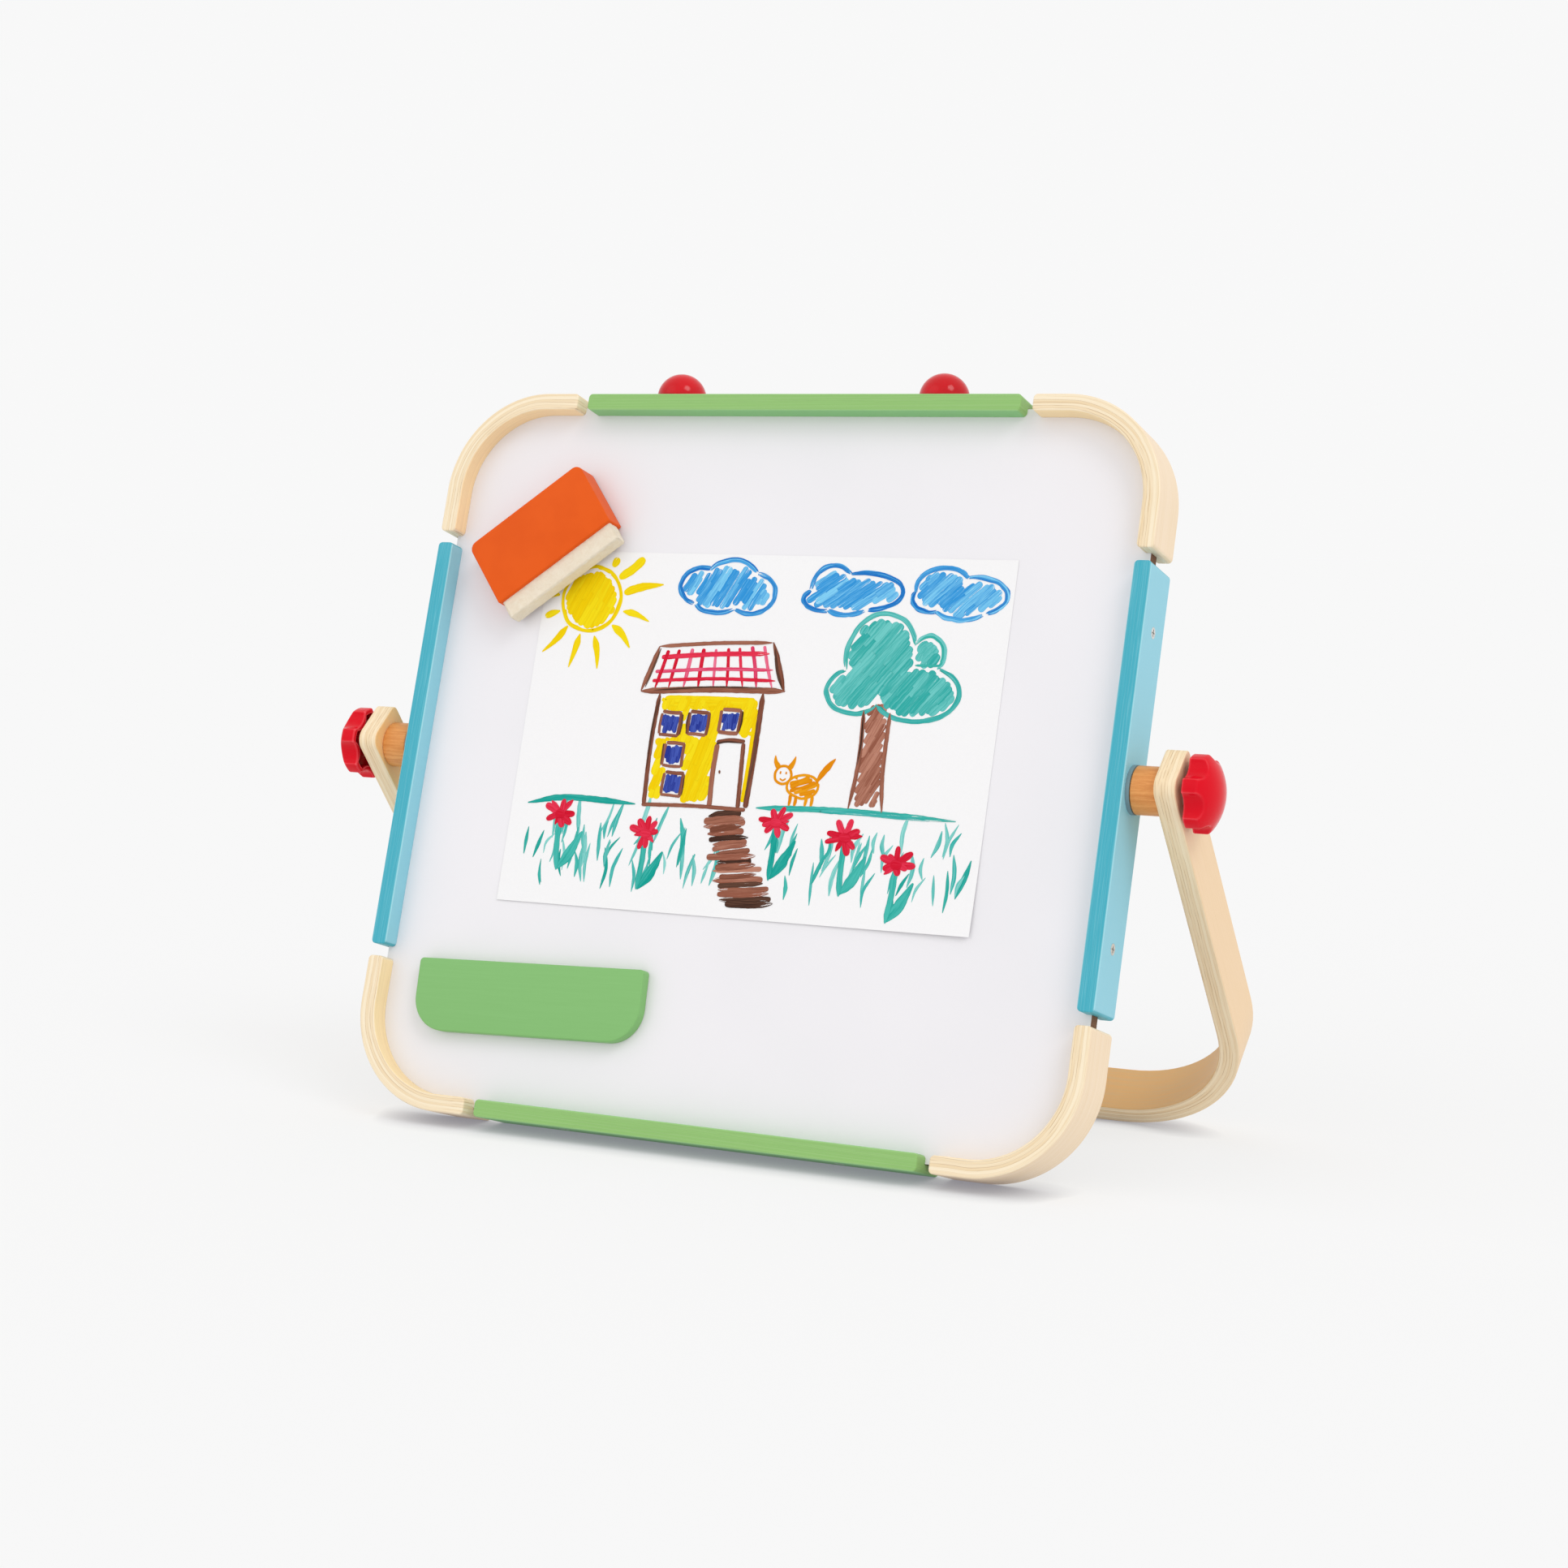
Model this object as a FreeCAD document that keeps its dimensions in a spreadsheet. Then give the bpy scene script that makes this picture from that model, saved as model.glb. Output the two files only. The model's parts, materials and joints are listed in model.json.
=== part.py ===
import FreeCAD, Part
import math
import os
import Sketcher
from FreeCAD import Placement, Rotation, Vector

# A tabletop drawing easel. The board leans back on its lower rear edge and on a bent-wood U stand that
# turns on two side pivots. Millimetres. World frame: +Z up, +X to the right as seen from the front,
# the white side of the board faces -Y, and the origin is on the floor under the middle of the object.
#
# Two local frames are used. Both start at the middle of the pivot axis, which is also the middle of the
# board, and both keep X as the width. In the board frame Y runs up the board and Z out of its white
# face. In the stand frame Y runs up the stand's legs and Z out of their front edges.

DIMENSIONS = [
    # the frame around the board: grooved strips and bent corners
    ("frame_width", 450.0), ("frame_height", 430.0),
    ("strip_thick", 10.0), ("strip_depth", 33.0),
    ("groove_deep", 5.0), ("groove_wide", 10.0),
    ("corner_radius", 60.0), ("top_rail_long", 275.0), ("side_rail_long", 244.0), ("rail_gap", 7.0),
    ("end_round", 2.5), ("edge_round", 0.9),
    # the board in the groove
    ("skin_thick", 0.4), ("board_play", 0.1), ("edge_play", 0.3), ("notch_long", 12.5),
    ("notch_deep", 4.4),
    # screws that hold the rails to the board's edge
    ("screw_spread", 172.0), ("screw_radius", 1.5), ("screw_long", 16.0), ("screw_head_radius", 3.2),
    ("screw_head_high", 1.8), ("screw_play", 0.1), ("recess_wide", 0.8), ("recess_long", 3.8),
    ("recess_deep", 1.0),
    # the stand
    ("stand_span", 510.0), ("stand_thick", 12.0), ("stand_wide", 31.0), ("stand_reach", 263.0),
    ("stand_radius", 87.0), ("stand_tail", 18.5), ("stand_angle", 56.0), ("tail_round", 4.0),
    ("tail_round_front", 8.0),
    # the two pivots
    ("bolt_radius", 2.95), ("bolt_long", 46.0), ("head_flats", 9.7), ("head_high", 3.8),
    ("bolt_tip_round", 0.4), ("bore_radius", 3.0), ("loose_bore", 3.2), ("slack", 0.2),
    ("friction_washer_radius", 13.4), ("friction_washer_thick", 2.2), ("spacer_radius", 13.2),
    ("knob_washer_radius", 8.0), ("knob_washer_thick", 1.2),
    # the hand knobs, measured from the outer face of the stand's leg
    ("knob_radius", 21.3), ("knob_skirt", 8.6), ("knob_lift", 3.4), ("knob_crown", 8.0),
    ("crown_radius", 20.6), ("hub_radius", 7.4), ("hub_lift", 1.7), ("hollow_radius", 14.2),
    ("hollow_deep", 6.4), ("scallop_count", 6.0), ("scallop_radius", 7.6), ("scallop_centre", 25.5),
    ("insert_radius", 4.5), ("insert_long", 10.4),
    # the round knobs on the top rail
    ("ball_radius", 14.5), ("ball_sunk", 2.2), ("ball_spread", 168.0),
    ("ball_screw_long", 14.0),
    # the eraser
    ("eraser_long", 84.0), ("eraser_high", 43.6), ("eraser_deep", 15.3), ("eraser_round", 5.0),
    ("felt_inset", 1.3), ("felt_proud", 12.0), ("felt_sunk", 3.0), ("felt_round", 0.6),
    ("felt_front", 2.3), ("felt_deep", 10.0),
    ("eraser_x", -153.9), ("eraser_y", 127.3), ("eraser_turn", 38.5), ("eraser_gap", 0.9),
    ("eraser_magnet_long", 60.0), ("eraser_magnet_high", 14.0), ("magnet_thick", 2.0),
    # the holder bar
    ("holder_long", 148.0), ("holder_high", 42.0), ("holder_deep", 7.0), ("holder_round", 20.0),
    ("holder_x", -117.5), ("holder_y", -145.5), ("holder_turn", 2.0), ("holder_gap", 0.3),
    ("holder_magnet_radius", 7.0), ("holder_magnet_spread", 96.0),
    # the sheet of paper, A4
    ("paper_long", 297.0), ("paper_high", 210.0), ("paper_thick", 0.25), ("paper_gap", 0.15),
    ("paper_x", -3.4), ("paper_y", 17.1), ("paper_turn", 0.3),
]

doc = FreeCAD.newDocument("easel")
sheet = doc.addObject("Spreadsheet::Sheet", "Dims")
for row, (alias, value) in enumerate(DIMENSIONS, start=1):
    sheet.set("A%d" % row, alias)
    sheet.set("B%d" % row, str(value))
    sheet.setAlias("B%d" % row, alias)
doc.recompute()


class Size:
    """A length known both as a number and as the expression that binds it to the sheet."""

    def __init__(self, value, text):
        self.value = float(value)
        self.text = text

    def joined(self, sign, other):
        other = other if isinstance(other, Size) else Size(other, str(other))
        value = self.value + other.value if sign == "+" else self.value - other.value
        return Size(value, "(%s %s %s)" % (self.text, sign, other.text))

    def __add__(self, other):
        return self.joined("+", other)

    def __sub__(self, other):
        return self.joined("-", other)

    def __mul__(self, factor):
        return Size(self.value * factor, "(%s * %s)" % (self.text, factor))

    def __truediv__(self, factor):
        return Size(self.value / factor, "(%s / %s)" % (self.text, factor))

    def __neg__(self):
        return Size(-self.value, "(0 - %s)" % self.text)


def cell(alias):
    return Size(getattr(sheet, alias), "Dims." + alias)


ZERO = Size(0, "0")
PAST = Size(1, "1")     # how far a cutting shape runs past the surface that it cuts
NEAR = 1e-3             # points closer than this are taken as one place
THICK = cell("strip_thick")
DEPTH = cell("strip_depth")
HALF_WIDTH = cell("frame_width") / 2
HALF_HEIGHT = cell("frame_height") / 2
GROOVE_FLOOR = cell("strip_thick") - cell("groove_deep")
CORE_HALF = cell("groove_wide") / 2 - cell("board_play") - cell("skin_thick")
FACE = cell("groove_wide") / 2 - cell("board_play")
LEG_OUT = cell("stand_span") / 2
LEG_IN = LEG_OUT - cell("stand_thick")
BOLT_SEAT = HALF_WIDTH - GROOVE_FLOOR


# ---------------------------------------------------------------- how the object stands on the floor

def resting():
    """The board's lean and the world place of the pivot axis' middle.

    The frame rests on its lower rear edge and the stand on its lower front edge. Both edges have the
    same rounding, so the floor is parallel to the line between the two rounding centres.
    """
    edge = cell("edge_round").value
    half_depth = DEPTH.value / 2
    half_wide = cell("stand_wide").value / 2
    angle = math.radians(cell("stand_angle").value)
    reach = cell("stand_reach").value - edge
    frame_foot = (edge - HALF_HEIGHT.value, edge - half_depth)

    def on_stand(out):
        """A point at the end of the stand, out from its middle plane, in the board frame."""
        return (-reach * math.cos(angle) - out * math.sin(angle),
                -reach * math.sin(angle) + out * math.cos(angle))

    stand_foot = on_stand(half_wide - edge)
    stand_heel = on_stand(edge - half_wide)
    lean = math.atan2(stand_foot[0] - frame_foot[0], frame_foot[1] - stand_foot[1])

    def world(point):
        """A board-frame (Y, Z) pair as world (Y, Z), from the pivot."""
        up, out = point
        return (up * math.sin(lean) - out * math.cos(lean), up * math.cos(lean) + out * math.sin(lean))

    pivot_high = edge - world(frame_foot)[1]
    front = world((edge - HALF_HEIGHT.value, half_depth - edge))[0] - edge
    back = world(stand_heel)[0] + edge
    return math.degrees(lean), Vector(0, -(front + back) / 2, pivot_high)


LEAN, PIVOT = resting()
X_AXIS = Vector(1, 0, 0)
Y_AXIS = Vector(0, 1, 0)
Z_AXIS = Vector(0, 0, 1)
BOARD_PLACE = Placement(PIVOT, Rotation(X_AXIS, 90 - LEAN))
STAND_PLACE = Placement(PIVOT, Rotation(X_AXIS, 90 - LEAN + cell("stand_angle").value))


def turned(place, axis, degrees):
    return place.multiply(Placement(Vector(), Rotation(axis, degrees)))


def on_face(name):
    """The place of a loose piece on the white face: its back plane's middle."""
    high = FACE + cell(name + "_gap")
    spot = Vector(cell(name + "_x").value, cell(name + "_y").value, high.value)
    return BOARD_PLACE.multiply(Placement(spot, Rotation(Z_AXIS, cell(name + "_turn").value)))


# ---------------------------------------------------------------- modelling helpers

def new_body(label, place):
    body = doc.addObject("PartDesign::Body", label)
    body.Label = label
    body.AllowCompound = True
    body.Placement = place
    return body


def origin_feature(body, role):
    for feature in body.Origin.OriginFeatures:
        if feature.Role == role:
            return feature
    raise ValueError(role)


def new_sketch(body, role, lift=None):
    """A sketch on one of the body's own origin planes, lifted off it if asked."""
    sketch = body.newObject("Sketcher::SketchObject", body.Label + "_sketch")
    sketch.AttachmentSupport = [(origin_feature(body, role), "")]
    sketch.MapMode = "FlatFace"
    if lift is not None:
        sketch.AttachmentOffset = Placement(Vector(0, 0, lift.value), Rotation())
        sketch.setExpression("AttachmentOffset.Base.z", lift.text)
    return sketch


def hold(sketch, geometry, corner, x, y):
    """Fix one point of a sketch at (x, y) from its origin."""
    for kind, axis_line, size in (("DistanceX", -2, x), ("DistanceY", -1, y)):
        if abs(size.value) < NEAR:
            sketch.addConstraint(Sketcher.Constraint("PointOnObject", geometry, corner, axis_line))
            continue
        if size.value > 0:
            ends = (-1, 1, geometry, corner)
            text = size.text
        else:
            ends = (geometry, corner, -1, 1)
            text = (-size).text
        number = sketch.addConstraint(Sketcher.Constraint(kind, *ends, abs(size.value)))
        sketch.setExpression("Constraints[%d]" % number, text)


def arc_between(start, end, radius, turn):
    """An arc of less than half a circle; turn is +1 to the left and -1 to the right."""
    chord = end - start
    rise = math.sqrt(max(radius ** 2 - (chord.Length / 2) ** 2, 0))
    left = Vector(-chord.y, chord.x, 0).normalize()
    centre = (start + end) * 0.5 + left * (rise * turn)
    first, last = (start, end) if turn > 0 else (end, start)
    angle_first = math.atan2(first.y - centre.y, first.x - centre.x)
    angle_last = math.atan2(last.y - centre.y, last.x - centre.x)
    return Part.ArcOfCircle(Part.Circle(centre, Z_AXIS, radius), angle_first, angle_last)


def draw(sketch, steps, closed=True):
    """Draw a chain of lines and arcs.

    A step is (x, y) where a straight run starts, or (x, y, radius, turn) where an arc starts.
    """
    count = len(steps) if closed else len(steps) - 1
    ends = []
    for number in range(count):
        step = steps[number]
        after = steps[(number + 1) % len(steps)]
        start = Vector(step[0].value, step[1].value, 0)
        end = Vector(after[0].value, after[1].value, 0)
        if len(step) == 2:
            geometry = sketch.addGeometry(Part.LineSegment(start, end), False)
            first, last = 1, 2
        else:
            radius, turn = step[2], step[3]
            geometry = sketch.addGeometry(arc_between(start, end, radius.value, turn), False)
            first, last = (1, 2) if turn > 0 else (2, 1)
            bend = sketch.addConstraint(Sketcher.Constraint("Radius", geometry, radius.value))
            sketch.setExpression("Constraints[%d]" % bend, radius.text)
        hold(sketch, geometry, first, step[0], step[1])
        ends.append((geometry, first, last))
    for number in range(count if closed else count - 1):
        here = ends[number]
        there = ends[(number + 1) % count]
        sketch.addConstraint(Sketcher.Constraint("Coincident", here[0], here[2], there[0], there[1]))
    if not closed:
        hold(sketch, ends[-1][0], ends[-1][2], steps[-1][0], steps[-1][1])
    return sketch


def rectangle(x_low, x_high, y_low, y_high):
    return [(x_low, y_low), (x_high, y_low), (x_high, y_high), (x_low, y_high)]


def pad(body, sketch, length, symmetric=False):
    feature = body.newObject("PartDesign::Pad", body.Label + "_pad")
    feature.Profile = sketch
    feature.setExpression("Length", length.text)
    feature.SideType = "Symmetric" if symmetric else "One side"
    doc.recompute()
    return feature


def primitive(body, kind, sizes, base, axis=Z_AXIS):
    """An additive or subtractive primitive whose own +Z is turned to axis, based at base."""
    feature = body.newObject("PartDesign::" + kind, body.Label + "_" + kind)
    for name, size in sizes.items():
        feature.setExpression(name, size.text)
    spot = Vector(*[size.value for size in base])
    feature.Placement = Placement(spot, Rotation(Z_AXIS, axis))
    for letter, size in zip("xyz", base):
        feature.setExpression("Placement.Base." + letter, size.text)
    doc.recompute()
    return feature


def block(body, kind, x_size, y_size, z_size, base):
    """A box of the given sizes, centred on base in X and Y and standing on it in Z."""
    corner = (base[0] - x_size / 2, base[1] - y_size / 2, base[2])
    sizes = {"Length": x_size, "Width": y_size, "Height": z_size}
    return primitive(body, kind + "Box", sizes, corner)


def drill(body, radius, length, base, axis):
    return primitive(body, "SubtractiveCylinder", {"Radius": radius, "Height": length}, base, axis)


def rod(body, radius, length, base, axis):
    return primitive(body, "AdditiveCylinder", {"Radius": radius, "Height": length}, base, axis)


def soften(body, radius, wanted):
    """Round every edge of the body so far for which wanted(edge) is true."""
    base = body.Tip
    names = ["Edge%d" % number for number, edge in enumerate(base.Shape.Edges, start=1) if wanted(edge)]
    feature = body.newObject("PartDesign::Fillet", body.Label + "_round")
    feature.Base = (base, names)
    feature.setExpression("Radius", radius.text)
    doc.recompute()
    return feature


def middle(edge):
    return edge.valueAt((edge.FirstParameter + edge.LastParameter) / 2)


def is_close(number, target):
    return abs(number - target) < NEAR


def on_rim(edge, half):
    """True for an edge that lies wholly in the front plane or the back plane, half away from z = 0."""
    return is_close(abs(middle(edge).z), half) and is_close(abs(edge.Vertexes[0].Z), half)


def runs_along(edge, letter):
    """True for a straight edge parallel to one local axis."""
    if len(edge.Vertexes) != 2:
        return False
    span = edge.Vertexes[1].Point - edge.Vertexes[0].Point
    return is_close(abs(getattr(span, letter)), span.Length) and is_close(edge.Length, span.Length)


# ---------------------------------------------------------------- the frame around the board

def channel(reach):
    """The section of a grooved strip: its flat outside at reach from the middle, the groove inward."""
    inside = reach - THICK
    floor = reach - GROOVE_FLOOR
    half = DEPTH / 2
    lip = cell("groove_wide") / 2
    return [(reach, -half), (reach, half), (inside, half), (inside, lip),
            (floor, lip), (floor, -lip), (inside, -lip), (inside, -half)]


def round_strip(body, is_end):
    """Round the corners of the strip's ends outside the groove, then its front and back edges."""
    half = DEPTH.value / 2
    soften(body, cell("end_round"), lambda edge: runs_along(edge, "z") and is_end(edge))
    soften(body, cell("edge_round"), lambda edge: on_rim(edge, half))


def make_rail(label, reach, length, place):
    """A straight grooved strip, built above the middle of the board and turned into place."""
    body = new_body(label, place)
    sketch = draw(new_sketch(body, "YZ_Plane"), channel(reach))
    pad(body, sketch, length, symmetric=True)
    half = length.value / 2
    floor = (reach - GROOVE_FLOOR).value
    round_strip(body, lambda edge: is_close(abs(middle(edge).x), half)
                and not is_close(middle(edge).y, floor))
    return body


def countersunk(body, x, face, inward):
    """A screw hole with a sunk mouth, from the strip's face through to its other side."""
    play = cell("screw_play")
    radius = cell("screw_radius") + play
    mouth = cell("screw_head_radius") + play
    drill(body, radius, THICK, (x, face, ZERO), inward)
    sizes = {"Radius1": mouth, "Radius2": radius, "Height": cell("screw_head_high") + play}
    primitive(body, "SubtractiveCone", sizes, (x, face, ZERO), inward)


def make_rails():
    top_long = cell("top_rail_long")
    side_long = cell("side_rail_long")
    spread = cell("screw_spread") / 2
    top = make_rail("top_rail", HALF_HEIGHT, top_long, BOARD_PLACE)
    bottom = make_rail("bottom_rail", HALF_HEIGHT, top_long, turned(BOARD_PLACE, Z_AXIS, 180))
    left = make_rail("left_rail", HALF_WIDTH, side_long, turned(BOARD_PLACE, Z_AXIS, 90))
    right = make_rail("right_rail", HALF_WIDTH, side_long, turned(BOARD_PLACE, Z_AXIS, -90))
    for body, reach in ((bottom, HALF_HEIGHT), (left, HALF_WIDTH), (right, HALF_WIDTH)):
        for x in (spread, -spread):
            countersunk(body, x, reach, -Y_AXIS)
    ball_spread = cell("ball_spread") / 2
    for x in (ball_spread, -ball_spread):
        countersunk(top, x, HALF_HEIGHT - GROOVE_FLOOR, Y_AXIS)
    for body in (left, right):
        drill(body, cell("bore_radius"), THICK, (ZERO, BOLT_SEAT - PAST, ZERO), Y_AXIS)
    return [top, bottom, left, right]


def make_corner(label, place):
    """A bent grooved strip at the upper right corner, turned into place."""
    body = new_body(label, place)
    radius = cell("corner_radius")
    start = cell("top_rail_long") / 2 + cell("rail_gap")
    end = cell("side_rail_long") / 2 + cell("rail_gap")
    line_high = HALF_HEIGHT - THICK / 2
    line_out = HALF_WIDTH - THICK / 2
    section = draw(new_sketch(body, "YZ_Plane", lift=start), channel(HALF_HEIGHT))
    path = draw(new_sketch(body, "XY_Plane"),
                [(start, line_high), (HALF_WIDTH - radius, line_high, radius - THICK / 2, -1),
                 (line_out, HALF_HEIGHT - radius), (line_out, end)], closed=False)
    bend = body.newObject("PartDesign::AdditivePipe", label + "_bend")
    bend.Profile = section
    bend.Spine = (path, [])
    doc.recompute()

    floor_high = (HALF_HEIGHT - GROOVE_FLOOR).value
    floor_out = (HALF_WIDTH - GROOVE_FLOOR).value

    def is_end(edge):
        spot = middle(edge)
        at_start = is_close(spot.x, start.value) and not is_close(spot.y, floor_high)
        at_end = is_close(spot.y, end.value) and not is_close(spot.x, floor_out)
        return at_start or at_end

    round_strip(body, is_end)
    return body


def make_corners():
    return [make_corner("corner_top_right", BOARD_PLACE),
            make_corner("corner_top_left", turned(BOARD_PLACE, Y_AXIS, 180)),
            make_corner("corner_bottom_right", turned(BOARD_PLACE, X_AXIS, 180)),
            make_corner("corner_bottom_left", turned(BOARD_PLACE, Z_AXIS, 180))]


# ---------------------------------------------------------------- the board

def make_layer(label, low, thick):
    """One full-size layer of the board, notched at both sides for the pivot bolts' heads."""
    body = new_body(label, BOARD_PLACE)
    play = cell("edge_play")
    wide = HALF_WIDTH - GROOVE_FLOOR - play
    high = HALF_HEIGHT - GROOVE_FLOOR - play
    radius = cell("corner_radius") - GROOVE_FLOOR - play
    flat_x = wide - radius
    flat_y = high - radius
    outline = [(-flat_x, -high), (flat_x, -high, radius, 1), (wide, -flat_y), (wide, flat_y, radius, 1),
               (flat_x, high), (-flat_x, high, radius, 1), (-wide, flat_y), (-wide, -flat_y, radius, 1)]
    pad(body, draw(new_sketch(body, "XY_Plane", lift=low), outline), thick)
    notch_deep = cell("notch_deep") * 2
    for side in (wide, -wide):
        corner = (side, ZERO, low - PAST)
        block(body, "Subtractive", notch_deep, cell("notch_long"), thick + PAST * 2, corner)
    return body


def make_board():
    core = make_layer("board_core", -CORE_HALF, CORE_HALF * 2)
    radius = cell("screw_radius") + cell("screw_play")
    spread = cell("screw_spread") / 2
    high = HALF_HEIGHT - GROOVE_FLOOR
    for offset in (spread, -spread):
        for side, inward in ((BOLT_SEAT, -X_AXIS), (-BOLT_SEAT, X_AXIS)):
            drill(core, radius, cell("screw_long"), (side, offset, ZERO), inward)
        drill(core, radius, cell("screw_long"), (offset, -high, ZERO), Y_AXIS)
    white = make_layer("whiteboard_sheet", CORE_HALF, cell("skin_thick"))
    black = make_layer("chalkboard_sheet", -CORE_HALF - cell("skin_thick"), cell("skin_thick"))
    return [core, white, black]


# ---------------------------------------------------------------- screws

def screw(body, x, face, inward, length):
    """A countersunk cross-head wood screw, its head flush with face, pointing inward along Y."""
    sign = -1 if inward.y < 0 else 1
    head = cell("screw_head_high")
    radius = cell("screw_radius")
    sizes = {"Radius1": cell("screw_head_radius"), "Radius2": radius, "Height": head}
    primitive(body, "AdditiveCone", sizes, (x, face, ZERO), inward)
    rod(body, radius, length - head * 2, (x, face + head * sign, ZERO), inward)
    tip = {"Radius1": radius, "Radius2": radius / 4, "Height": head}
    primitive(body, "AdditiveCone", tip, (x, face + (length - head) * sign, ZERO), inward)
    deep = cell("recess_deep") * 2
    wide = cell("recess_wide")
    long = cell("recess_long")
    for x_size, z_size in ((wide, long), (long, wide)):
        block(body, "Subtractive", x_size, deep, z_size, (x, face, -(z_size / 2)))


def make_screws():
    spread = cell("screw_spread") / 2
    long = cell("screw_long")
    pairs = (("left_rail_screws", HALF_WIDTH, 90), ("right_rail_screws", HALF_WIDTH, -90),
             ("bottom_rail_screws", HALF_HEIGHT, 180))
    bodies = []
    for label, reach, degrees in pairs:
        body = new_body(label, turned(BOARD_PLACE, Z_AXIS, degrees))
        for x in (spread, -spread):
            screw(body, x, reach, -Y_AXIS, long)
        bodies.append(body)
    body = new_body("ball_knob_screws", BOARD_PLACE)
    ball_spread = cell("ball_spread") / 2
    for x in (ball_spread, -ball_spread):
        screw(body, x, HALF_HEIGHT - GROOVE_FLOOR, Y_AXIS, cell("ball_screw_long"))
    bodies.append(body)
    return bodies


# ---------------------------------------------------------------- the stand and its pivots

def make_stand():
    """One laminated strip bent into a U, with a bolt hole near each end."""
    body = new_body("stand_bow", STAND_PLACE)
    thick = cell("stand_thick")
    radius = cell("stand_radius")
    line_out = LEG_OUT - thick / 2
    line_low = -(cell("stand_reach") - thick / 2)
    arc = radius - thick / 2
    tail = cell("stand_tail")
    bend_y = radius - cell("stand_reach")
    half = cell("stand_wide") / 2
    section = draw(new_sketch(body, "XZ_Plane", lift=-tail), rectangle(LEG_IN, LEG_OUT, -half, half))
    path = draw(new_sketch(body, "XY_Plane"),
                [(line_out, tail), (line_out, bend_y, arc, -1), (LEG_OUT - radius, line_low),
                 (radius - LEG_OUT, line_low, arc, -1), (-line_out, bend_y), (-line_out, tail)],
                closed=False)
    bend = body.newObject("PartDesign::AdditivePipe", "stand_bend")
    bend.Profile = section
    bend.Spine = (path, [])
    doc.recompute()
    drill(body, cell("bore_radius"), (LEG_OUT + PAST) * 2, (-LEG_OUT - PAST, ZERO, ZERO), X_AXIS)
    high = tail.value
    edge_z = half.value
    for name, side in (("tail_round_front", edge_z), ("tail_round", -edge_z)):
        soften(body, cell(name), lambda edge: runs_along(edge, "x") and is_close(middle(edge).z, side)
               and is_close(middle(edge).y, high))
    soften(body, cell("edge_round"), lambda edge: on_rim(edge, edge_z))
    return body


def make_ring(label, place, outside, bore, thick, x, softened=None):
    """A flat ring or a drilled cylinder around the pivot axis, starting at x."""
    body = new_body(label, place)
    rod(body, outside, thick, (x, ZERO, ZERO), X_AXIS)
    drill(body, bore, thick + PAST * 2, (x - PAST, ZERO, ZERO), X_AXIS)
    if softened is not None:
        limit = outside.value
        soften(body, softened, lambda edge: len(edge.Vertexes) == 1 and is_close(edge.Curve.Radius, limit))
    return body


def make_bolt(label, place):
    """A hex bolt: its head lies in the rail's groove, two flats against the walls, and can't turn."""
    body = new_body(label, place)
    head = cell("head_high")
    sizes = {"Circumradius": cell("head_flats") / math.sqrt(3), "Height": head}
    prism = primitive(body, "AdditivePrism", sizes, (BOLT_SEAT - head, ZERO, ZERO), X_AXIS)
    prism.Polygon = 6
    prism.Placement = turned(prism.Placement, Z_AXIS, 90)
    rod(body, cell("bolt_radius"), cell("bolt_long"), (BOLT_SEAT, ZERO, ZERO), X_AXIS)
    end = (BOLT_SEAT + cell("bolt_long")).value
    soften(body, cell("bolt_tip_round"), lambda edge: len(edge.Vertexes) == 1
           and is_close(middle(edge).x, end))
    return body


def make_knob(label, place):
    """A six-lobed hand knob with a domed crown, hollow behind around a hub for its thread insert."""
    body = new_body(label, place)
    back = LEG_OUT + cell("knob_lift")
    front = back + cell("knob_skirt")
    hub_end = LEG_OUT + cell("hub_lift")
    ceiling = back + cell("hollow_deep")
    seat = cell("insert_radius")
    crown = cell("crown_radius")
    apex = front + cell("knob_crown")
    seat_end = hub_end + cell("insert_long") + cell("slack")
    rise = cell("knob_crown")
    dome = Size((crown.value ** 2 + rise.value ** 2) / (2 * rise.value),
                "(({0} * {0} + {1} * {1}) / (2 * {1}))".format(crown.text, rise.text))
    half_section = [(hub_end, seat), (seat_end, seat), (seat_end, ZERO), (apex, ZERO, dome, 1),
                    (front, crown), (front, cell("knob_radius")), (back, cell("knob_radius")),
                    (back, cell("hollow_radius")), (ceiling, cell("hollow_radius")),
                    (ceiling, cell("hub_radius")), (hub_end, cell("hub_radius"))]
    profile = draw(new_sketch(body, "XY_Plane"), half_section)
    turned_shape = body.newObject("PartDesign::Revolution", label + "_turned")
    turned_shape.Profile = profile
    turned_shape.ReferenceAxis = (origin_feature(body, "X_Axis"), [""])
    turned_shape.Angle = 360
    doc.recompute()
    beside = (back - PAST, cell("scallop_centre"), ZERO)
    scallop = drill(body, cell("scallop_radius"), apex - back + PAST * 2, beside, X_AXIS)
    lobes = body.newObject("PartDesign::PolarPattern", label + "_lobes")
    lobes.Originals = [scallop]
    lobes.Axis = (origin_feature(body, "X_Axis"), [""])
    lobes.Angle = 360
    lobes.setExpression("Occurrences", cell("scallop_count").text)
    body.Tip = lobes
    doc.recompute()
    return body


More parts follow.
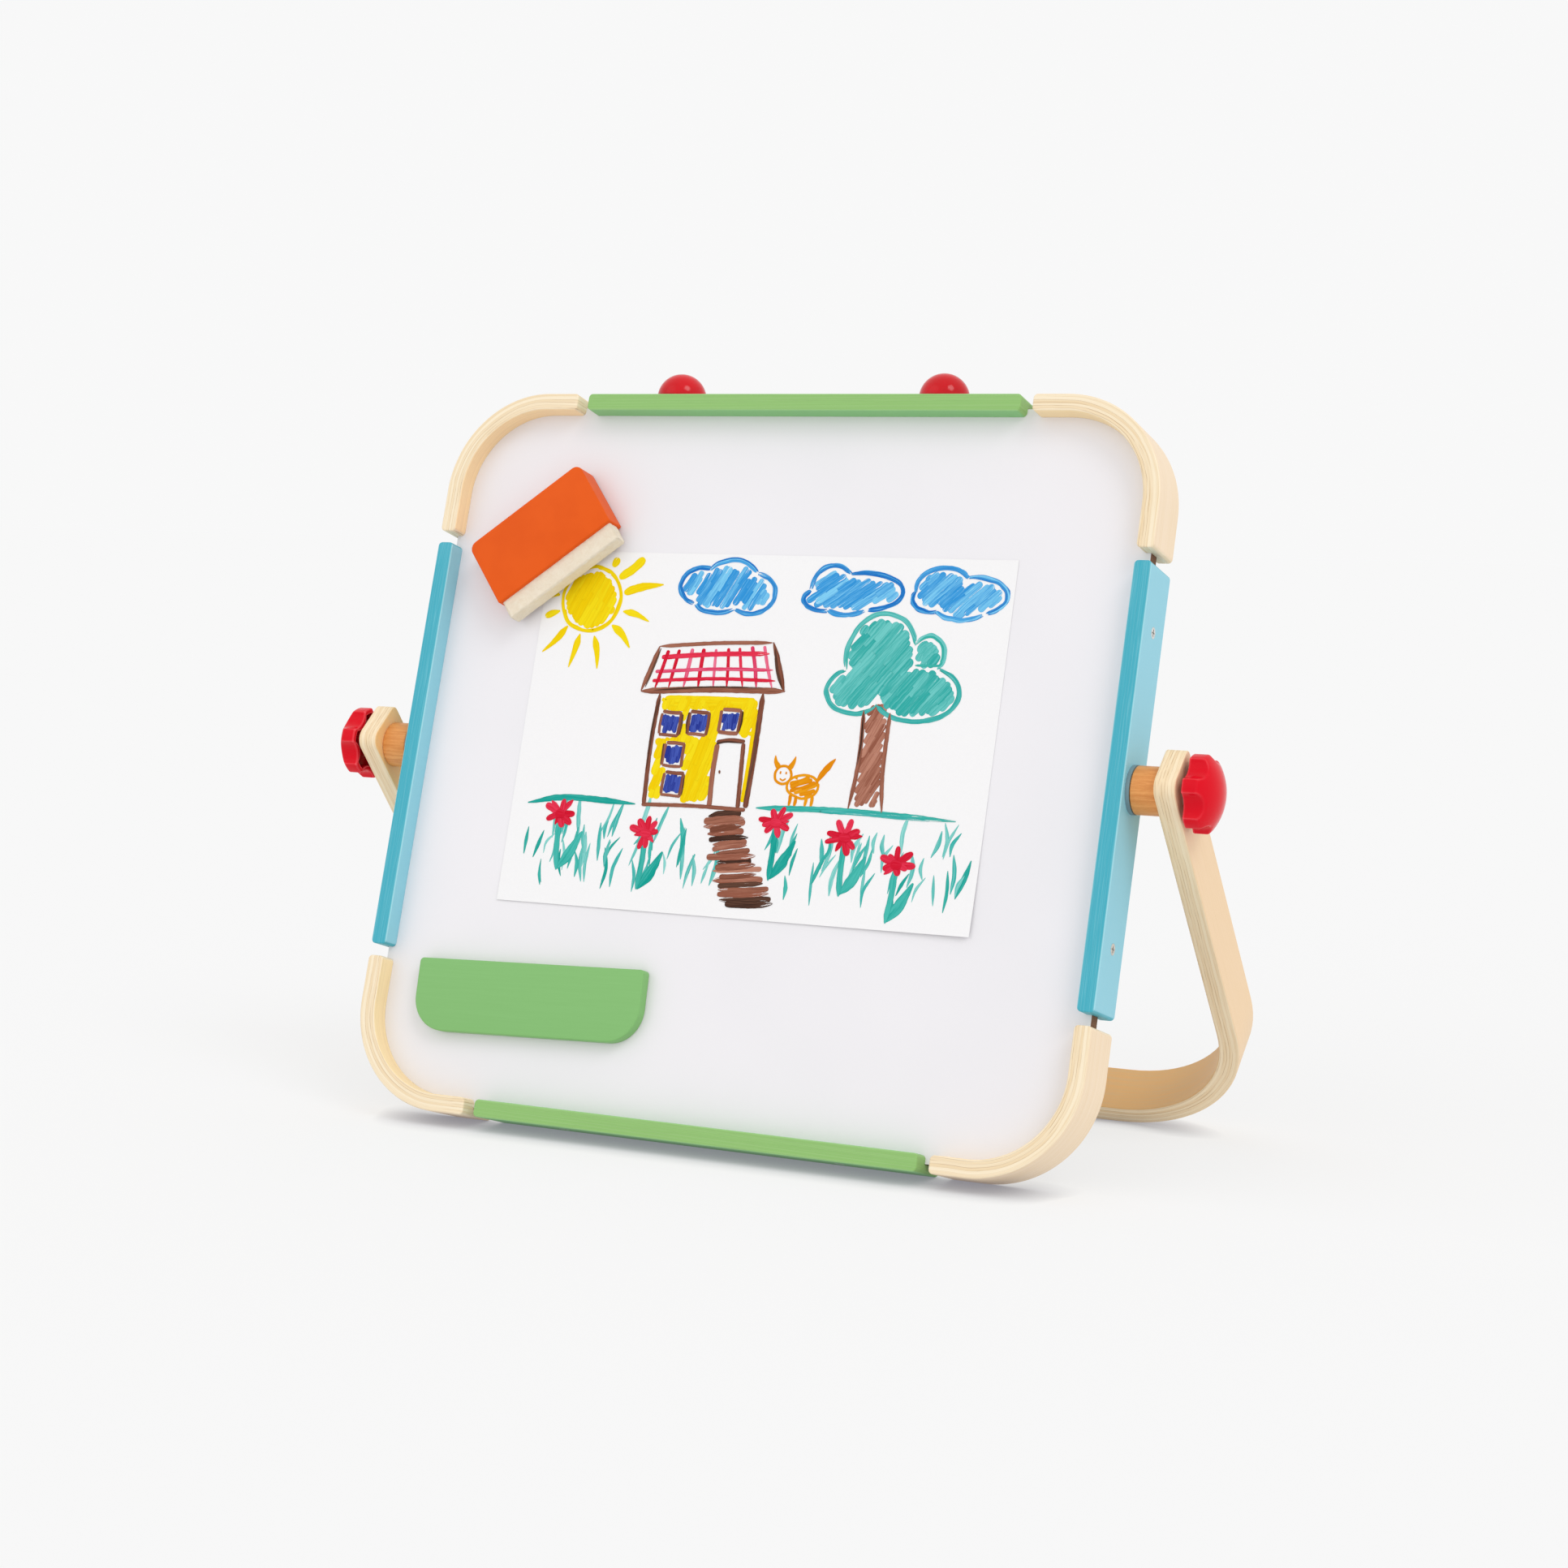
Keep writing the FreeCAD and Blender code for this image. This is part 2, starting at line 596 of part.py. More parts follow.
def make_pivots():
    bodies = []
    for side, degrees in (("right", 0), ("left", 180)):
        place = turned(BOARD_PLACE, Z_AXIS, degrees)
        stand_side = turned(STAND_PLACE, Z_AXIS, degrees)
        washer = cell("friction_washer_thick")
        spacer_start = HALF_WIDTH + washer + cell("slack")
        bodies.append(make_bolt("pivot_bolt_" + side, place))
        bodies.append(make_ring("friction_washer_" + side, place, cell("friction_washer_radius"),
                                cell("loose_bore"), washer, HALF_WIDTH))
        bodies.append(make_ring("spacer_" + side, stand_side, cell("spacer_radius"), cell("loose_bore"),
                                LEG_IN - spacer_start, spacer_start, softened=cell("edge_round")))
        bodies.append(make_ring("knob_washer_" + side, stand_side, cell("knob_washer_radius"),
                                cell("loose_bore"), cell("knob_washer_thick"), LEG_OUT))
        bodies.append(make_knob("knob_" + side, place))
        insert_start = LEG_OUT + cell("hub_lift")
        bodies.append(make_ring("knob_insert_" + side, place, cell("insert_radius"), cell("bore_radius"),
                                cell("insert_long"), insert_start))
    return bodies


# ---------------------------------------------------------------- the round knobs on the top rail

def make_ball_knobs():
    """Two turned knobs: balls cut flat a little below their middles, standing on the top rail."""
    bodies = []
    radius = cell("ball_radius")
    sunk = cell("ball_sunk")
    foot = Size(math.sqrt(radius.value ** 2 - sunk.value ** 2),
                "sqrt({0} * {0} - {1} * {1})".format(radius.text, sunk.text))
    half_section = [(ZERO, ZERO), (foot, ZERO, radius, 1), (radius, sunk, radius, 1), (ZERO, radius + sunk)]
    for side, offset in (("right", cell("ball_spread") / 2), ("left", -(cell("ball_spread") / 2))):
        spot = Placement(Vector(offset.value, HALF_HEIGHT.value, 0), Rotation())
        body = new_body("ball_knob_" + side, BOARD_PLACE.multiply(spot))
        profile = draw(new_sketch(body, "XY_Plane"), half_section)
        ball = body.newObject("PartDesign::Revolution", "ball_" + side)
        ball.Profile = profile
        ball.ReferenceAxis = (origin_feature(body, "Y_Axis"), [""])
        ball.Angle = 360
        doc.recompute()
        bore = cell("screw_radius") + cell("screw_play")
        drill(body, bore, cell("ball_screw_long"), (ZERO, -PAST, ZERO), Y_AXIS)
        bodies.append(body)
    return bodies


# ---------------------------------------------------------------- what lies on the white face

def make_eraser():
    """A block with a felt strip along its lower long side and a flat magnet let into its back."""
    place = on_face("eraser")
    long = cell("eraser_long")
    high = cell("eraser_high")
    deep = cell("eraser_deep")
    inset = cell("felt_inset")
    sunk = cell("felt_sunk")
    felt_long = long - inset * 2
    felt_deep = cell("felt_deep")
    felt_back = deep - cell("felt_front") - felt_deep
    felt_high = sunk + cell("felt_proud")
    body = new_body("eraser_body", place)
    block(body, "Additive", long, high, deep, (ZERO, ZERO, ZERO))
    top = high.value / 2
    soften(body, cell("eraser_round"), lambda edge: runs_along(edge, "z") and is_close(middle(edge).y, top))
    soften(body, cell("edge_round"), lambda edge: is_close(middle(edge).z, deep.value))
    block(body, "Subtractive", felt_long, sunk * 2, felt_deep, (ZERO, -(high / 2), felt_back))
    block(body, "Subtractive", cell("eraser_magnet_long"), cell("eraser_magnet_high"), cell("magnet_thick"),
          (ZERO, ZERO, ZERO))
    felt = new_body("eraser_felt", place)
    block(felt, "Additive", felt_long, felt_high, felt_deep,
          (ZERO, sunk - high / 2 - felt_high / 2, felt_back))
    low = -(high / 2 + cell("felt_proud")).value
    soften(felt, cell("felt_round"), lambda edge: is_close(middle(edge).y, low))
    magnet = new_body("eraser_magnet", place)
    block(magnet, "Additive", cell("eraser_magnet_long"), cell("eraser_magnet_high"), cell("magnet_thick"),
          (ZERO, ZERO, ZERO))
    return [body, felt, magnet]


def make_holder():
    """A flat bar with large lower corners and two magnets let into its back."""
    place = on_face("holder")
    half_long = cell("holder_long") / 2
    half_high = cell("holder_high") / 2
    deep = cell("holder_deep")
    radius = cell("holder_round")
    small = cell("end_round")
    body = new_body("holder_bar", place)
    outline = [(radius - half_long, -half_high), (half_long - radius, -half_high, radius, 1),
               (half_long, radius - half_high), (half_long, half_high - small, small, 1),
               (half_long - small, half_high), (small - half_long, half_high, small, 1),
               (-half_long, half_high - small), (-half_long, radius - half_high, radius, 1)]
    pad(body, draw(new_sketch(body, "XY_Plane"), outline), deep)
    soften(body, cell("edge_round"), lambda edge: is_close(middle(edge).z, deep.value))
    magnet_radius = cell("holder_magnet_radius")
    thick = cell("magnet_thick")
    spread = cell("holder_magnet_spread") / 2
    for x in (spread, -spread):
        drill(body, magnet_radius, thick, (x, ZERO, ZERO), Z_AXIS)
    magnets = new_body("holder_magnets", place)
    for x in (spread, -spread):
        rod(magnets, magnet_radius, thick, (x, ZERO, ZERO), Z_AXIS)
    return [body, magnets]


def make_paper():
    body = new_body("paper_sheet", on_face("paper"))
    block(body, "Additive", cell("paper_long"), cell("paper_high"), cell("paper_thick"), (ZERO, ZERO, ZERO))
    return [body]


# ---------------------------------------------------------------- the whole easel

pieces = make_board() + make_rails() + make_corners() + make_screws()
pieces += [make_stand()] + make_pivots() + make_ball_knobs()
pieces += make_eraser() + make_holder() + make_paper()
doc.recompute()

faults = [item.Name for item in doc.Objects if "Invalid" in item.State or "Error" in item.State]
faults += [piece.Label for piece in pieces if piece.Shape.isNull() or not piece.Shape.isValid()]
if faults:
    raise RuntimeError("failed objects: %s" % ", ".join(faults))

os.makedirs("parts", exist_ok=True)
whole = FreeCAD.BoundBox()
for piece in pieces:
    piece.Shape.exportStep("parts/%s.step" % piece.Label)
    whole.add(piece.Shape.optimalBoundingBox(False))
    print("%-22s %d solid(s) %10.1f mm3" % (piece.Label, len(piece.Shape.Solids), piece.Shape.Volume))
print("lean %.3f degrees, pivot %s" % (LEAN, tuple(round(number, 3) for number in PIVOT)))
print("box X %.2f..%.2f  Y %.2f..%.2f  Z %.2f..%.2f" % (whole.XMin, whole.XMax, whole.YMin, whole.YMax,
                                                      whole.ZMin, whole.ZMax))
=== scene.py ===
import json
import math
import random

import bmesh
import bpy
from mathutils import Matrix, Vector, noise


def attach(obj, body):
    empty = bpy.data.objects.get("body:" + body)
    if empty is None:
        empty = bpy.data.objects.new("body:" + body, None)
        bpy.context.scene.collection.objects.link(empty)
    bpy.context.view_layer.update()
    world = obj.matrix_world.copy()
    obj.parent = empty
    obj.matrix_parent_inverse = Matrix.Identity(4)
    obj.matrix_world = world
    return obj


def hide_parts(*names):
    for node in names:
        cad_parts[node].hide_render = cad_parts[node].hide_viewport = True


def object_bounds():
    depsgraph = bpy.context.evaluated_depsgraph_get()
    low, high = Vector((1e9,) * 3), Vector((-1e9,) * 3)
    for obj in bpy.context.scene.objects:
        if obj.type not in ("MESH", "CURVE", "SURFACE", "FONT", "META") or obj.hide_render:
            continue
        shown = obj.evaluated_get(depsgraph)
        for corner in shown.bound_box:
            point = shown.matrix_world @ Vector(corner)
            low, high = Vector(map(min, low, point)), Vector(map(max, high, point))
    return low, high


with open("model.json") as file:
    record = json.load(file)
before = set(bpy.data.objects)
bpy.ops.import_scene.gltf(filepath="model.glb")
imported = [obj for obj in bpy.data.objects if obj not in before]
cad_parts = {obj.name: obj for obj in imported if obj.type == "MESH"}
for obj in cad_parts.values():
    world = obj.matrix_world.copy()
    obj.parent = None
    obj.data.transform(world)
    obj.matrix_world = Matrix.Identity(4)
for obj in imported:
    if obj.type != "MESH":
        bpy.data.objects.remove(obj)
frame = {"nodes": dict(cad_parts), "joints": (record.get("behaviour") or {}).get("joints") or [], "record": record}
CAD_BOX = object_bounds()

# A child's tabletop easel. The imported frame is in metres; the pieces made here are modelled in
# millimetres, each in a local frame, and are put into the metre frame when their mesh is finished.
# The board frame starts at the middle of the pivot axis: X right, Y up the board, Z out of its white face.
# The stand frame starts there too: Y up the stand's legs, Z out of their front edges.

MM = 0.001
JOINTS = {joint["name"]: joint for joint in frame["joints"]}
NODES = frame["nodes"]


def basis(across, up, out, origin):
    """A frame in millimetres with these unit axes, at origin in metres."""
    columns = Matrix((across, up, out)).transposed().to_4x4()
    return Matrix.Translation(origin) @ columns @ Matrix.Scale(MM, 4)


PIVOT = Vector(JOINTS["stand_swing"]["pos_m"])
ACROSS = Vector((1, 0, 0))
OUT = Vector(JOINTS["eraser_lift"]["axis"]).normalized()
BOARD = basis(ACROSS, OUT.cross(ACROSS), OUT, PIVOT)
BASE = next(mount for mount in frame["record"]["mounts"] if mount["name"] == "stand_base_face")
LEGS_UP = -Vector(BASE["axis"]).normalized()
STAND = basis(ACROSS, LEGS_UP, ACROSS.cross(LEGS_UP), PIVOT)


def extent(node, place):
    """The lowest and highest corner of a CAD node, in the local frame place."""
    inverse = place.inverted()
    points = [inverse @ vertex.co for vertex in NODES[node].data.vertices]
    low = Vector([min(point[axis] for point in points) for axis in range(3)])
    high = Vector([max(point[axis] for point in points) for axis in range(3)])
    return low, high


def turned_place(node, degrees):
    """A frame on the board, turned about its Z to lie along a node, at the middle of the node's back."""
    turn = Matrix.Rotation(math.radians(degrees), 4, "Z")
    low, high = extent(node, BOARD @ turn)
    middle = (low + high) / 2
    return BOARD @ turn @ Matrix.Translation((middle.x, middle.y, low.z)), high - low


# ---------------------------------------------------------------- material building

class Shader:
    """A node material built around one Principled BSDF."""

    def __init__(self, name, **values):
        self.material = bpy.data.materials.new(name)
        self.material.use_nodes = True
        self.tree = self.material.node_tree
        self.surface = self.tree.nodes["Principled BSDF"]
        self.set(**values)

    def feed(self, socket, value):
        """Link a socket to another, or give it a value of its own."""
        if isinstance(value, bpy.types.NodeSocket):
            self.tree.links.new(value, socket)
        else:
            socket.default_value = value

    def set(self, **values):
        """Set or link inputs of the surface, whose names have _ for a space, and return the material."""
        for name, value in values.items():
            if name.endswith("Color") and not isinstance(value, bpy.types.NodeSocket):
                value = (*value, 1)
            self.feed(self.surface.inputs[name.replace("_", " ")], value)
        return self.material

    def add(self, kind, inputs=(), **settings):
        """A new shader node with these inputs and settings."""
        node = self.tree.nodes.new("ShaderNode" + kind)
        for name, value in settings.items():
            setattr(node, name, value)
        for name, value in dict(inputs).items():
            self.feed(node.inputs[name], value)
        return node

    def math(self, operation, first, second=0.0, third=0.0, clamp=False):
        inputs = {0: first, 1: second, 2: third}
        return self.add("Math", inputs, operation=operation, use_clamp=clamp).outputs[0]

    def times(self, first, second):
        return self.math("MULTIPLY", first, second)

    def times_plus(self, first, second, third, clamp=False):
        return self.math("MULTIPLY_ADD", first, second, third, clamp)

    def minus(self, first, second):
        return self.math("SUBTRACT", first, second)

    def away(self, value, centre=0.0):
        """How far a value is from a centre, on either side."""
        return self.math("ABSOLUTE", self.minus(value, centre) if centre else value)

    def local(self, place):
        """Object coordinates in a local frame, in its millimetres."""
        spot, turn, scale = place.decompose()
        inputs = {"Vector": self.add("TexCoord").outputs["Object"], "Location": spot,
                  "Rotation": turn.to_euler(), "Scale": scale}
        return self.add("Mapping", inputs, vector_type="TEXTURE").outputs[0]

    def split(self, vector):
        return self.add("SeparateXYZ", {0: vector}).outputs

    def join(self, x, y, z):
        return self.add("CombineXYZ", {0: x, 1: y, 2: z}).outputs[0]

    def stretch(self, vector, scale):
        return self.add("VectorMath", {0: vector, 1: scale}, operation="MULTIPLY").outputs[0]

    def noise(self, vector, scale, detail=3.0, roughness=0.5, distortion=0.0):
        """Cloudy noise from 0 to 1, whose clumps are about 1 / scale millimetres apart."""
        inputs = {"Vector": vector, "Scale": scale, "Detail": detail, "Roughness": roughness,
                  "Distortion": distortion}
        return self.add("TexNoise", inputs).outputs["Fac"]

    def random_tone(self, number):
        """A number from 0 to 1 that differs from one whole number to the next."""
        return self.add("TexWhiteNoise", {"W": number}, noise_dimensions="1D").outputs["Value"]

    def ramp(self, factor, low, high):
        """0 below low and 1 above high, smooth between."""
        inputs = {"Value": factor, "From Min": low, "From Max": high}
        return self.add("MapRange", inputs, interpolation_type="SMOOTHSTEP").outputs[0]

    def span(self, factor, low, high):
        """A 0 to 1 factor as a number from low to high."""
        return self.add("MapRange", {"Value": factor, "To Min": low, "To Max": high}).outputs[0]

    def mix(self, factor, first, second):
        """The first colour where the factor is 0, the second where it is 1."""
        node = self.add("Mix", data_type="RGBA")
        sockets = [socket for socket in node.inputs if socket.type == "RGBA"]
        self.feed(node.inputs[0], factor)
        for socket, colour in zip(sockets, (first, second)):
            self.feed(socket, colour if isinstance(colour, bpy.types.NodeSocket) else (*colour, 1))
        return next(socket for socket in node.outputs if socket.type == "RGBA")

    def pin_knots(self, vector, scale, small, large):
        """1 on round spots scattered 1 / scale millimetres apart, 0 elsewhere."""
        distance = self.add("TexVoronoi", {"Vector": vector, "Scale": scale}).outputs["Distance"]
        return self.minus(1.0, self.ramp(distance, small, large))

    def bump(self, height, depth_mm, before=None):
        """A bump whose full height is depth_mm."""
        node = self.add("Bump", {"Height": height, "Distance": depth_mm * MM, "Strength": 1.0})
        if before is not None:
            self.tree.links.new(before, node.inputs["Normal"])
        return node.outputs[0]


def bend_depth(shader, vector, half_wide, half_high, radius, open_top):
    """How far a point lies inside a rounded outline, in millimetres: the depth into a bent strip."""
    x, y, _ = shader.split(vector)
    beyond_x = shader.minus(shader.away(x), half_wide - radius)
    tall = shader.times(y, -1.0) if open_top else shader.away(y)
    beyond_y = shader.minus(tall, half_high - radius)
    past = [shader.math("MAXIMUM", beyond, 0.0) for beyond in (beyond_x, beyond_y)]
    corner = shader.add("VectorMath", {0: shader.join(*past, 0.0)}, operation="LENGTH").outputs["Value"]
    inner = shader.math("MINIMUM", shader.math("MAXIMUM", beyond_x, beyond_y), 0.0)
    return shader.minus(radius, shader.math("ADD", corner, inner))


def strip_noise(shader, vector, depth, on_edge, along, across, detail=3.0):
    """Noise drawn out along a strip: fine across its faces and through its plies, coarse along both."""
    x, y, z = shader.split(vector)
    shifted = shader.times_plus(depth, across, shader.times(x, along))
    sideways = shader.times(z, shader.span(on_edge, across, along * 3))
    spot = shader.join(shifted, shader.times(y, along), sideways)
    return shader.noise(spot, 1.0, detail, 0.55)


PLY_WANDER = 1.3                       # how far the plies wave about, in plies
SKIN_START, SKIN_END = 0.1, 0.5        # depths between which a smooth face gives way to the sawn edge
ARRIS_START, ARRIS_END = 0.95, 0.45    # distances from a strip's corner where its rounding starts and ends


class Strip:
    """A laminated strip's shape, with its number of plies.

    The outline is its half width, half height and bend radius, and whether it is open at the top.
    """

    def __init__(self, place, outline, thick, half_deep, plies):
        self.place = place
        self.outline = outline
        self.thick = thick
        self.half_deep = half_deep
        self.plies = plies

    def layers(self, shader):
        """Local coordinates, depth, ply number and place within the ply, 0 to 1."""
        vector = shader.local(self.place)
        depth = bend_depth(shader, vector, *self.outline)
        wander = shader.noise(vector, 0.035, 3.0)
        waved = shader.times_plus(wander, self.thick / self.plies * PLY_WANDER, depth)
        share = shader.times(waved, self.plies / self.thick)
        return vector, depth, shader.math("FLOOR", share), shader.math("FRACT", share)

    def on_edge(self, shader, depth):
        """1 on the sawn front and back edges, 0 on the smooth outer and inner faces."""
        outer = shader.ramp(depth, SKIN_START, SKIN_END)
        inner = shader.ramp(depth, self.thick - SKIN_START, self.thick - SKIN_END)
        return shader.times(outer, inner)

    def on_arris(self, shader, vector, depth):
        """1 on the rounded corners between the faces and the edges."""
        across = shader.away(shader.split(vector)[2])
        front = shader.ramp(across, self.half_deep - ARRIS_START, self.half_deep - ARRIS_END)
        centred = shader.away(depth, self.thick / 2)
        outside = shader.ramp(centred, self.thick / 2 - 0.85, self.thick / 2 - 0.35)
        return shader.times(front, outside)


FRAME_BEND, FRAME_THICK, FRAME_PLIES = 60.0, 10.0, 6
BOW_BEND, BOW_THICK, BOW_PLIES = 87.0, 12.0, 7


def measured_strips():
    """The frame's and the stand's strips, sized from the CAD nodes."""
    _, top = extent("top_rail", BOARD)
    _, side = extent("right_rail", BOARD)
    low, high = extent("stand_bow", STAND)
    frame_strip = Strip(BOARD, (side.x, top.y, FRAME_BEND, False), FRAME_THICK, side.z, FRAME_PLIES)
    bow_strip = Strip(STAND, (high.x, -low.y, BOW_BEND, True), BOW_THICK, high.z, BOW_PLIES)
    return frame_strip, bow_strip


FRAME_STRIP, BOW_STRIP = measured_strips()


def bare_ply(name, strip, cream, tan, line, outer_face, inner_face):
    """Varnished laminate: plies of uneven tone on the edges, long smooth grain on the faces."""
    shader = Shader(name, Specular_IOR_Level=0.3)
    vector, depth, number, within = strip.layers(shader)
    on_edge = strip.on_edge(shader, depth)
    along = strip_noise(shader, vector, depth, on_edge, 0.012, 0.9)
    fine = strip_noise(shader, vector, depth, on_edge, 0.05, 2.6, 4.0)
    pores = shader.noise(vector, 1.6, 4.0, 0.7)
    tone = shader.random_tone(shader.math("ADD", number, 3.4))
    cross = shader.ramp(shader.math("MODULO", number, 2.0), 0.4, 0.6)
    dark = shader.times_plus(cross, 0.25, shader.times(tone, 0.4))
    streak = shader.times_plus(shader.minus(along, 0.5), 1.6, dark, True)
    streak = shader.times_plus(shader.minus(fine, 0.5), 1.3, streak, True)
    ply = shader.mix(streak, cream, tan)
    near = shader.away(within, 0.5)
    broken = shader.span(shader.ramp(fine, 0.42, 0.6), 0.2, 0.95)
    strength = shader.times(shader.ramp(tone, 0.2, 0.9), broken)
    glue = shader.times(shader.ramp(near, 0.36, 0.5), strength)
    speck = shader.times(shader.ramp(pores, 0.66, 0.76), shader.times(cross, 0.4))
    edge = shader.mix(shader.math("MAXIMUM", glue, speck), ply, line)
    pin = shader.pin_knots(vector, 0.03, 0.02, 0.045)
    edge = shader.mix(shader.times(pin, 0.75), edge, (0.12, 0.05, 0.02))
    grain = shader.times_plus(fine, 0.5, shader.times(along, 0.7))
    inside = shader.ramp(depth, strip.thick * 0.4, strip.thick * 0.6)
    veneer = shader.mix(inside, outer_face, inner_face)
    face = shader.mix(shader.times(shader.ramp(grain, 0.45, 0.85), 0.55), veneer, tan)
    shader.set(Base_Color=shader.mix(on_edge, face, edge))
    ridges = shader.times_plus(glue, -0.8, shader.times(fine, 0.5))
    height = shader.times(ridges, shader.span(on_edge, 0.3, 1.0))
    return shader.set(Normal=shader.bump(height, 0.12), Roughness=shader.span(fine, 0.38, 0.55))


def painted_ply(name, strip, face_paint_and_sheen, edge_colour, light, arris_highlight):
    """Satin paint over laminate: smooth on the faces, the plies showing on the edges. The faces are lighter partly
    because paint lies thinner there than on the end grain and partly as a painted sheen; the rounded corners are
    lightened as a painted highlight.
    """
    shader = Shader(name, Specular_IOR_Level=0.3)
    vector, depth, number, within = strip.layers(shader)
    on_edge = strip.on_edge(shader, depth)
    fine = strip_noise(shader, vector, depth, on_edge, 0.03, 3.0, 3.0)
    peel = shader.noise(vector, 0.9, 2.0)
    cross = shader.ramp(shader.math("MODULO", number, 2.0), 0.4, 0.6)
    near = shader.away(within, 0.5)
    glue = shader.times(shader.ramp(near, 0.3, 0.5), shader.ramp(fine, 0.35, 0.6))
    raised = shader.times(cross, shader.ramp(fine, 0.4, 0.75))
    streaks = shader.times(shader.ramp(fine, 0.5, 0.68), 0.7)
    shown = shader.math("MAXIMUM", streaks, shader.times(glue, 0.6))
    edge = shader.mix(shown, edge_colour, light)
    # The face colour is partly thinner paint and partly a painted sheen.
    face = shader.mix(shader.times(shader.ramp(fine, 0.4, 0.8), 0.08), face_paint_and_sheen, light)
    colour = shader.mix(on_edge, face, edge)
    # The rounded corners are lightened towards a painted highlight colour.
    arris = shader.times(strip.on_arris(shader, vector, depth), 0.6)
    shader.set(Base_Color=shader.mix(arris, colour, arris_highlight))
    lines = shader.times_plus(glue, 0.4, shader.times(raised, 0.5))
    ply_bump = shader.bump(shader.times(lines, on_edge), 0.1)
    return shader.set(Normal=shader.bump(peel, 0.02, ply_bump), Roughness=shader.span(fine, 0.38, 0.5))


def turned_wood(name, pale, dark):
    """Varnished beech turned along X: straight grain with short flecks and a pin knot or two."""
    shader = Shader(name, Specular_IOR_Level=0.35)
    vector = shader.local(BOARD)
    grain = shader.noise(shader.stretch(vector, (0.04, 0.55, 0.55)), 1.0, 4.0, 0.6, 0.6)
    fleck = shader.noise(shader.stretch(vector, (0.5, 3.2, 3.2)), 1.0, 3.0, 0.6)
    tone = shader.times_plus(fleck, 0.35, grain)
    colour = shader.mix(shader.ramp(tone, 0.45, 0.85), pale, dark)
    pin = shader.pin_knots(vector, 0.085, 0.06, 0.14)
    colour = shader.mix(shader.times(pin, 0.7), colour, (0.08, 0.03, 0.01))
    shader.set(Base_Color=colour, Roughness=shader.span(fleck, 0.32, 0.5))
    return shader.set(Normal=shader.bump(fleck, 0.05))


def plastic(name, colour, shade, roughness, shine, grain_scale, grain_depth):
    """Moulded plastic or gloss paint: an even colour with a faint cloud and a fine skin."""
    shader = Shader(name, Specular_IOR_Level=shine)
    vector = shader.local(BOARD)
    cloud = shader.noise(vector, 0.06, 2.0)
    skin = shader.noise(vector, grain_scale, 3.0, 0.6)
    shader.set(Base_Color=shader.mix(shader.ramp(cloud, 0.35, 0.7), colour, shade))
    shader.set(Roughness=shader.span(skin, roughness * 0.85, roughness * 1.2))
    return shader.set(Normal=shader.bump(skin, grain_depth))


def knob_plastic(name, colour, hollow_painted_shade, rim_painted_highlight, shine):
    """Gloss moulding with painted shade in the hollows and a painted highlight along the rims."""
    shader = Shader(name, Specular_IOR_Level=shine)
    skin = shader.noise(shader.local(BOARD), 0.35, 3.0, 0.6)
    # Occlusion darkens the hollows into painted shade.
    occlusion_for_painted_shade = shader.add("AmbientOcclusion", {"Distance": 0.009}, only_local=True, samples=12).outputs["AO"]
    thick = shader.add("AmbientOcclusion", {"Distance": 0.0013}, only_local=True, inside=True,
                       samples=12).outputs["AO"]
    tone = shader.mix(shader.ramp(occlusion_for_painted_shade, 0.45, 0.95), hollow_painted_shade, colour)
    # Thin convex rims are lightened into a painted highlight.
    rim = shader.times(shader.ramp(thick, 0.97, 0.7), shader.ramp(occlusion_for_painted_shade, 0.55, 0.9))
    shader.set(Base_Color=shader.mix(rim, tone, rim_painted_highlight), Roughness=shader.span(skin, 0.14, 0.22))
    return shader.set(Normal=shader.bump(skin, 0.02))


def metal(name, colour, roughness, line_scale):
    """Plated steel or brass: fine drawn lines and a patchy shine."""
    shader = Shader(name, Metallic=1.0)
    vector = shader.local(BOARD)
    lines = shader.noise(shader.stretch(vector, (line_scale, 0.3, line_scale)), 1.0, 3.0)
    cloud = shader.noise(vector, 0.7, 2.0)
    dull = [channel * 0.72 for channel in colour]
    shader.set(Base_Color=shader.mix(shader.ramp(cloud, 0.35, 0.7), colour, dull))
    shader.set(Roughness=shader.span(lines, roughness * 0.7, roughness * 1.4))
    return shader.set(Normal=shader.bump(lines, 0.02))


def felt(name, pale, shade):
    """Pressed wool: short tangled fibres in soft clumps."""
    shader = Shader(name, Roughness=1.0, Sheen_Weight=0.25, Sheen_Roughness=0.6, Specular_IOR_Level=0.1)
    vector = shader.local(BOARD)
    fibres = shader.noise(vector, 1.9, 6.0, 0.75, 1.2)
    clumps = shader.noise(vector, 0.35, 3.0, 0.6, 0.8)
    tone = shader.times_plus(clumps, 0.6, shader.times(fibres, 0.6))
    shader.set(Base_Color=shader.mix(shader.ramp(tone, 0.38, 0.82), shade, pale))
    return shader.set(Normal=shader.bump(shader.times_plus(clumps, 0.5, fibres), 0.55))


def paper(name, white, shade):
    """Uncoated drawing paper with a faint tooth."""
    shader = Shader(name, Roughness=0.85, Specular_IOR_Level=0.25)
    vector = shader.local(BOARD)
    fibres = shader.noise(vector, 1.2, 5.0, 0.7, 0.5)
    shader.set(Base_Color=shader.mix(shader.ramp(fibres, 0.3, 0.8), white, shade))
    return shader.set(Normal=shader.bump(fibres, 0.03))


PAPER_WHITE = (0.88, 0.87, 0.875)


